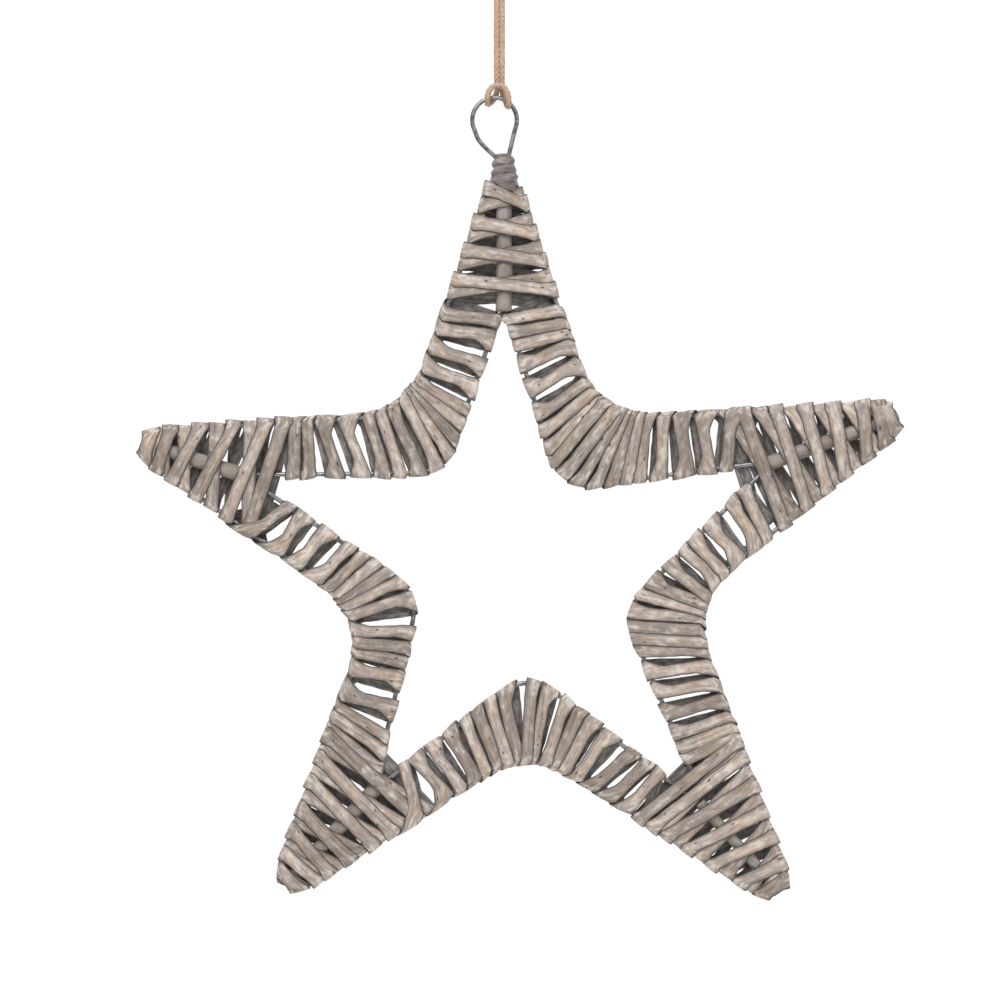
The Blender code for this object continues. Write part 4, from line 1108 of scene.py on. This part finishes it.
def tip_ribbon(tip_frame, winding, over, sizes, seed):
    """One of a tip's two strips, wound opposite ways. Each crossing is pulled taut over the cane, in front
    and behind, and the strip that lies over is one layer further out."""
    rng = np.random.default_rng(seed)
    near, far = np.array(winding.over if over else winding.under).T * MM
    count = len(near)
    side = 1 if over else -1
    layer = sizes.strip_thickness + OVER_ROOM if over else UNDER_ROOM
    radius = WIRE_DIAMETER / 2 + sizes.strip_clearance + sizes.strip_thickness / 2 + layer
    over_cane = winding.cane * MM / 2 + CANE_ROOM + sizes.strip_thickness / 2 + layer
    width = sizes.tip_strip_width * rng.uniform(*TIP_WIDTHS, count)
    spread = rng.uniform(*TIP_SPREAD, (2, count)) * MM
    tone = rng.uniform(0, 1, count)
    shares = CROSSING_SHARES[:, None]
    in_run = np.sin(math.pi * CROSSING_SHARES)
    fold_highlight_share = near_folds(CROSSING_SHARES, TIP_HIGHLIGHT_REACH)
    crown = OVER_CROWN if over else UNDER_CROWN
    kept = winding.behind
    ribbon = Ribbon()

    def edges(outwards, wire_side, turned, wide):
        """The strip's two edges round a side of the tip."""
        turned = np.atleast_1d(turned)
        places = (outwards - wide / 2, outwards + wide / 2)
        ends = [np.broadcast_to(place, turned.shape) for place in places]
        return [tip_frame.side_point(end, turned, radius, wire_side) for end in ends]

    def fold(outwards, wire_side, turned, wide, tone_here):
        """Round a side of the tip, with the outer edge slack."""
        slack = np.array([rng.uniform(*TIP_SNUG_EDGE), rng.uniform(*TIP_SLACK_EDGE)]) * MM
        lifted = np.sin(math.pi * WRAP)[:, None] * slack
        ribbon.lay(edges(outwards, wire_side, turned, wide), lifted, crown * TIP_FOLD_CROWN, 1, tone_here)

    def run(start, end, way, tone_here, bow):
        """Taut from one side over the cane to the other, in front (way -1) or behind (way 1). start and end
        are each where, on which side, how wide and how far spread."""
        ends = [edges(place, wire_side, 90 * way, wide) for place, wire_side, wide, _ in (start, end)]
        spreads = [edges(place, at, 90 * way, wide + 2 * more) for place, at, wide, more in (start, end)]
        pair = flared(*ends, *spreads, shares, TIP_FLARE, TIP_FLARE)
        for e, line in enumerate(pair):
            flat = line[:, [0, 2]] - tip_frame.foot
            x, out = flat @ tip_frame.across, flat @ tip_frame.axis
            spans = [abs((edge[e][0][[0, 2]] - tip_frame.foot) @ tip_frame.across) for edge in ends]
            span = np.where(np.sign(x) == np.sign(x[0]), *spans)
            height = taut_height(x, np.maximum(span, over_cane), radius, over_cane)
            on_cane = np.clip((out - tip_frame.cane_start) / CANE_EASING + 1, 0, 1)
            line[:, 1] = way * blend(radius, height, on_cane)
        rounded = crown * blend(CROWN_AT_FOLD, 1, in_run)
        ribbon.lay(pair, (bow * in_run)[:, None], rounded, fold_highlight_share, tone_here)

    def end_run(start, end, part, rounded, tone_here):
        """The strip's loose end behind: a part of a plain run."""
        ribbon.lay(part_run(start, end, part[:, None]), 0.0, rounded, 0, tone_here)

    for k in range(count):
        wide, more = width[k], spread[:, k]
        if k == 0:
            before = edges(near[k] - TIP_START_BACK, -side, 90, wide)
            behind = edges(near[k], side, 90, wide + 2 * more[0])
            end_run(before, behind, TIP_START_RUN, TIP_START_CROWN, tone[k])
            fold(near[k], side, TURNED_BACK, wide + 2 * more[0], tone[k])
        leaving, meeting = (near[k], side, wide, more[0]), (far[k], -side, wide, more[1])
        run(leaving, meeting, -1, tone[k], rng.uniform(0, TIP_BOW))
        fold(far[k], -side, TURNED_OVER, wide + 2 * more[1], tone[k])
        if k == count - 1:
            behind = edges(far[k], -side, 90, wide + 2 * more[1])
            after = edges(far[k] - TIP_END_BACK, side, 90, wide)
            end_run(behind, after, TIP_END_RUN, TIP_END_CROWN, tone[k])
            break
        leaving = (far[k], -side, kept * wide, more[1] + (1 - kept) / 2 * wide)
        meeting = (near[k + 1], side, kept * width[k + 1], spread[0, k + 1] + (1 - kept) / 2 * width[k + 1])
        run(leaving, meeting, 1, tone[k], rng.uniform(0, TIP_BOW))
        wider = blend(width[k], width[k + 1], WRAP) + 2 * spread[0, k + 1]
        fold(near[k + 1], side, TURNED_BACK, wider, blend(tone[k], tone[k + 1], WRAP))
    return ribbon


def add_cane(name, node, tip_frame, winding, material, seed):
    """A cane: a round rod whose radius swells and wavers a little, cut square with worn rims, along the tip's
    axis. Points: axis line + radius * (cos, sin), the radius a sum of slow waves along and round it."""
    rng = np.random.default_rng(seed)
    radius = winding.cane * MM / 2
    room = tip_frame.bend - WIRE_DIAMETER / 2 - CANE_END_GAP
    end = tip_frame.bend_centre + math.sqrt(max(room**2 - (radius * CANE_TAPER) ** 2, 0))
    out = np.linspace(tip_frame.cane_start, end, CANE_STATIONS)
    rows = np.concatenate([[out[0]] * 3, out, [out[-1]] * 3])
    shrink = np.concatenate([CANE_RIM, np.ones(len(out)), CANE_RIM[::-1]])
    swell = 1 + wavering(rng, len(rows), *CANE_SWELL)
    taper = np.interp(rows, [out[0], end], [1.0, CANE_TAPER])
    angle = round_turn(CANE_SIDES)
    along = rows[:, None]
    lumps = np.ones((len(rows), CANE_SIDES))
    for height, around, start, speed in CANE_WAVES:
        lumps += height * np.sin(around * angle + start + along * speed)
    size = (radius * swell * taper * shrink * CANE_SHARE)[:, None] * lumps
    wander = wavering(rng, len(rows), *CANE_WANDER)[:, None] * (shrink[:, None] > 0)
    flat = tip_frame.foot + tip_frame.axis * along
    x = np.cos(angle) * size + wander
    points = in_space(flat[:, None] + x[..., None] * tip_frame.across, np.sin(angle) * size)
    gone = np.cumsum(np.concatenate([[0], np.abs(np.diff(rows)) + np.abs(np.diff(shrink)) * radius]))
    maps = (angle / (2 * math.pi), gone[:, None] * 100)
    return add_band(name, node, points, material, maps)


class STAR_OT_stage(Operator):
    """Adds the camera where the photograph was taken from, soft studio lights and a plain pale floor"""

    bl_idname = "wicker_star.stage"
    bl_label = "Add Stage"

    def execute(self, context):
        scene = context.scene
        scene.view_settings.view_transform = "Standard"
        camera = bpy.data.cameras.new("Photo camera")
        camera.lens = 100.0
        camera.sensor_width = 36.0
        camera.clip_end = 30.0
        eye = bpy.data.objects.new("Photo camera", camera)
        distance = FRAME_WIDTH * camera.lens / camera.sensor_width
        eye.location = (FRAME_CENTRE[0], -distance, FRAME_CENTRE[1])
        eye.rotation_euler = (math.pi / 2, 0, 0)
        scene.collection.objects.link(eye)
        scene.camera = eye

        world = bpy.data.worlds.new("Pale studio")
        world.use_nodes = True
        sky = Tree(world.node_tree)
        upward = sky.node("ShaderNodeSeparateXYZ", Vector=sky.value("ShaderNodeTexCoord", out="Generated"))
        softbox = sky.steps(Value(sky, upward.outputs["Z"]), *SKY)
        seen = sky.value("ShaderNodeLightPath", out="Is Camera Ray")
        strength = sky.value("ShaderNodeMix", {"data_type": "FLOAT"}, _0=seen, _2=softbox, _3=BACKDROP)
        backdrop = world.node_tree.nodes["Background"]
        sky.join(backdrop, "Color", (1.0, 1.0, 1.0, 1.0))
        sky.join(backdrop, "Strength", strength)
        scene.world = world

        for name, place, size, power in LIGHTS:
            light = bpy.data.lights.new(name, "AREA")
            light.size = size
            light.energy = power
            lamp = bpy.data.objects.new(name, light)
            lamp.location = place
            lamp.rotation_euler = (AIM - Vector(place)).to_track_quat("-Z", "Y").to_euler()
            scene.collection.objects.link(lamp)

        mesh = bpy.data.meshes.new("floor")
        turn = round_turn(FLOOR_SIDES)[0]
        height = np.full(FLOOR_SIDES, FLOOR_HEIGHT)
        rim = np.stack([FLOOR_RADIUS * np.cos(turn), FLOOR_RADIUS * np.sin(turn), height], axis=1)
        mesh.from_pydata(rim.tolist(), [], [list(range(FLOOR_SIDES))])
        mesh.materials.append(made_once("Pale floor", pale_floor))
        floor = bpy.data.objects.new("floor", mesh)
        scene.collection.objects.link(floor)
        return {"FINISHED"}


class STAR_OT_twine(Operator):
    """Adds the jute twine, laid up from three strands, and the knot that joins its ends"""

    bl_idname = "wicker_star.twine"
    bl_label = "Add Twine"

    def execute(self, context):
        jute = made_once("Jute twine", jute_twine)
        line = smooth_line(np.array(TWINE_ROUTE) * MM, TWINE_SPACING)
        radius = TWINE_DIAMETER / 2
        rng = np.random.default_rng(TWINE_SEED)
        swell = radius * (TWINE_SWELL + wavering(rng, len(line), *TWINE_WAVER))
        twine = tube("jute_twine", "twine", line, swell, jute, TWINE_SIDES, groove=TWINE_GROOVE)
        turn = round_turn(KNOT_STATIONS)[0]
        x = (np.sin(turn) + 2 * np.sin(2 * turn)) / 3
        y = (np.cos(turn) - 2 * np.cos(2 * turn)) / 3
        knot_line = np.stack([x, y, -np.sin(3 * turn)], axis=1) * KNOT_SIZE * MM
        knot_line = knot_line[:, [1, 2, 0]] * KNOT_STRETCH + KNOT_PLACE
        knot = tube(
            "twine_knot_tied", "twine_knot", knot_line, radius, jute, KNOT_SIDES, True, KNOT_GROOVE
        )
        return {"FINISHED"}


class STAR_OT_wires(Operator):
    """Adds the two bent zinc wires of the star"""

    bl_idname = "wicker_star.wires"
    bl_label = "Add Wires"

    def execute(self, context):
        zinc = made_once("Zinc wire", zinc_wire)
        for word, wire in (("outer", OUTER), ("inner", INNER)):
            line = in_space(wire.at(np.linspace(0, wire.length, WIRE_STATIONS, endpoint=False)))
            name, node = word + "_star_wire", word + "_wire"
            tube(name, node, line, WIRE_DIAMETER / 2, zinc, WIRE_SIDES, True)
        return {"FINISHED"}


class STAR_OT_canes(Operator):
    """Adds the grey willow cane along the middle of each tip"""

    bl_idname = "wicker_star.canes"
    bl_label = "Add Canes"

    def execute(self, context):
        bark = made_once("Grey willow cane", grey_cane)
        for i, (name, *_) in enumerate(TIPS):
            winding = TIP_WINDINGS[name]
            add_cane(name + "_cane", name + "_tip_cane", TIP_FRAMES[i], winding, bark, CANE_SEED + i)
        return {"FINISHED"}


class STAR_OT_leg_windings(Operator):
    """Winds a split willow strip round both wires along each leg"""

    bl_idname = "wicker_star.leg_windings"
    bl_label = "Wind Legs"

    def execute(self, context):
        willow = made_once("Washed willow strip", washed_willow)
        sizes = context.scene.wicker_star_sizes
        for i, (name, *_) in enumerate(VALLEYS):
            ribbon = leg_ribbon(i, sizes, LEG_SEED + i)
            ribbon.build(name + "_leg_strip", name + "_leg_winding", sizes, willow, LEG_EDGE_SEED + i)
        return {"FINISHED"}


class STAR_OT_tip_windings(Operator):
    """Winds two split willow strips round the outer wire and the cane of each tip"""

    bl_idname = "wicker_star.tip_windings"
    bl_label = "Wind Tips"

    def execute(self, context):
        willow = made_once("Washed willow strip", washed_willow)
        sizes = context.scene.wicker_star_sizes
        for i, (name, *_) in enumerate(TIPS):
            for over, word in ((True, "_tip_over"), (False, "_tip_under")):
                seed = TIP_SEED + 2 * i + over
                ribbon = tip_ribbon(TIP_FRAMES[i], TIP_WINDINGS[name], over, sizes, seed)
                ribbon.build(name + word + "_band", name + word + "_strip", sizes, willow, seed)
        return {"FINISHED"}


class STAR_OT_eye(Operator):
    """Adds the wire eye that the twine holds"""

    bl_idname = "wicker_star.eye"
    bl_label = "Add Eye"

    def execute(self, context):
        zinc = made_once("Zinc wire", zinc_wire)
        angles = np.radians(np.linspace(EYE_LEFT_ANGLE, EYE_RIGHT_ANGLE, RING_STATIONS))
        loop_centre = np.array([EYE_SHIFT, -EYE_TOP_DROP - EYE_LOOP_RADIUS])
        ring = loop_centre + EYE_LOOP_RADIUS * np.stack([np.cos(angles), np.sin(angles)], axis=1)
        left = EYE_CENTRE + np.array([EYE_LEFT_FOOT, -EYE_FOOT_DROP])
        right = EYE_CENTRE + np.array([EYE_RIGHT_FOOT, -EYE_FOOT_DROP])
        line = evenly(in_space(np.vstack([left[None], EYE_LEFT_BOW, ring, right[None]])), EYE_SPACING)
        window = 2 * EYE_SOFT + 1
        padded = np.pad(line, ((EYE_SOFT, EYE_SOFT), (0, 0)), "edge")
        soft = np.stack([np.convolve(part, np.ones(window) / window, "valid") for part in padded.T], axis=1)
        soft[0], soft[-1] = line[0], line[-1]
        tube("wire_eye", "hanging_eye", soft, EYE_WIRE_DIAMETER / 2, zinc, EYE_SIDES)
        return {"FINISHED"}


class STAR_OT_binding(Operator):
    """Winds the dark binding that holds the eye to the top tip"""

    bl_idname = "wicker_star.binding"
    bl_label = "Wind Binding"

    def execute(self, context):
        fibre = made_once("Wound willow fibre", wound_fibre)
        rng = np.random.default_rng(BINDING_SEED)
        share = np.linspace(0, 1, BINDING_ROWS)[:, None]
        height = blend(BINDING_LEVELS[0, 0], BINDING_LEVELS[-1, 0], share)
        levels = BINDING_LEVELS[::-1].T
        centre_x, radius = (np.interp(height, levels[0], levels[i]) for i in (1, 2))
        angle = round_turn(BINDING_SIDES)
        # The radius times the wrap's grooves, 1 - groove + groove * |sin(pi * turns)| to a power, times the
        # slow waves with the lumps, each a half ellipsoid, and rounded off at both ends
        turn = BINDING_TURNS * share**TURNS_POWER - angle / (2 * math.pi)
        strand = np.abs(np.sin(math.pi * turn)) ** GROOVE_POWER
        lumps = np.ones((BINDING_ROWS, BINDING_SIDES))
        for _ in range(BINDING_WAVES):
            around, along = rng.integers(1, 4), rng.uniform(*BINDING_WAVE_SPEEDS)
            phase = rng.uniform(0, 2 * math.pi)
            lumps += BINDING_WAVE_HEIGHT * np.sin(around * angle + along * share + phase)
        tall = BINDING_LEVELS[0, 0] - BINDING_LEVELS[-1, 0]
        for down, around, half_height, half_width, out in BINDING_LUMPS:
            off = np.angle(np.exp(1j * (angle - math.pi - math.radians(around))))
            away = (off * BINDING_RADIUS / half_width) ** 2 + ((share - down) * tall / half_height) ** 2
            lumps += out / BINDING_RADIUS * np.sqrt(np.clip(1 - away, 0, 1))
        closing = np.clip(np.minimum(share, 1 - share) / BINDING_CLOSING, 0, 1)
        grooved = 1 - BINDING_GROOVE + BINDING_GROOVE * strand
        size = radius * grooved * lumps * np.sqrt(1 - (1 - closing) ** 2)
        x, y = centre_x + size * np.sin(angle), size * np.cos(angle)
        points = np.stack([x, y, np.broadcast_to(height, x.shape)], axis=-1) * MM
        maps = (turn * BINDING_MAP[0], angle * BINDING_MAP[1])
        add_band("wound_binding", "top_binding", points, fibre, maps)
        return {"FINISHED"}


class STAR_PT_panel(Panel):
    """The star's sizes and colours, and the steps that build it"""

    bl_idname = "STAR_PT_panel"
    bl_label = "Wicker Star"
    bl_space_type = "VIEW_3D"
    bl_region_type = "UI"
    bl_category = "Wicker Star"

    def draw(self, context):
        layout = self.layout
        for group in (context.scene.wicker_star_sizes, context.scene.wicker_star_colours):
            box = layout.box()
            for name in group.__annotations__:
                box.prop(group, name)
        for step in STEPS:
            layout.operator(step.bl_idname)


STEPS = (
    STAR_OT_stage,
    STAR_OT_twine,
    STAR_OT_wires,
    STAR_OT_canes,
    STAR_OT_leg_windings,
    STAR_OT_tip_windings,
    STAR_OT_eye,
    STAR_OT_binding,
)
CLASSES = (StarSizes, StarColours, *STEPS, STAR_PT_panel)


def register():
    for item in CLASSES:
        bpy.utils.register_class(item)
    bpy.types.Scene.wicker_star_sizes = PointerProperty(type=StarSizes)
    bpy.types.Scene.wicker_star_colours = PointerProperty(type=StarColours)


def unregister():
    del bpy.types.Scene.wicker_star_colours
    del bpy.types.Scene.wicker_star_sizes
    for item in reversed(CLASSES):
        bpy.utils.unregister_class(item)


def main():
    register()
    bpy.ops.wicker_star.stage()
    bpy.ops.wicker_star.twine()
    bpy.ops.wicker_star.wires()
    bpy.ops.wicker_star.canes()
    bpy.ops.wicker_star.leg_windings()
    bpy.ops.wicker_star.tip_windings()
    bpy.ops.wicker_star.eye()
    bpy.ops.wicker_star.binding()


if __name__ == "__main__":
    main()
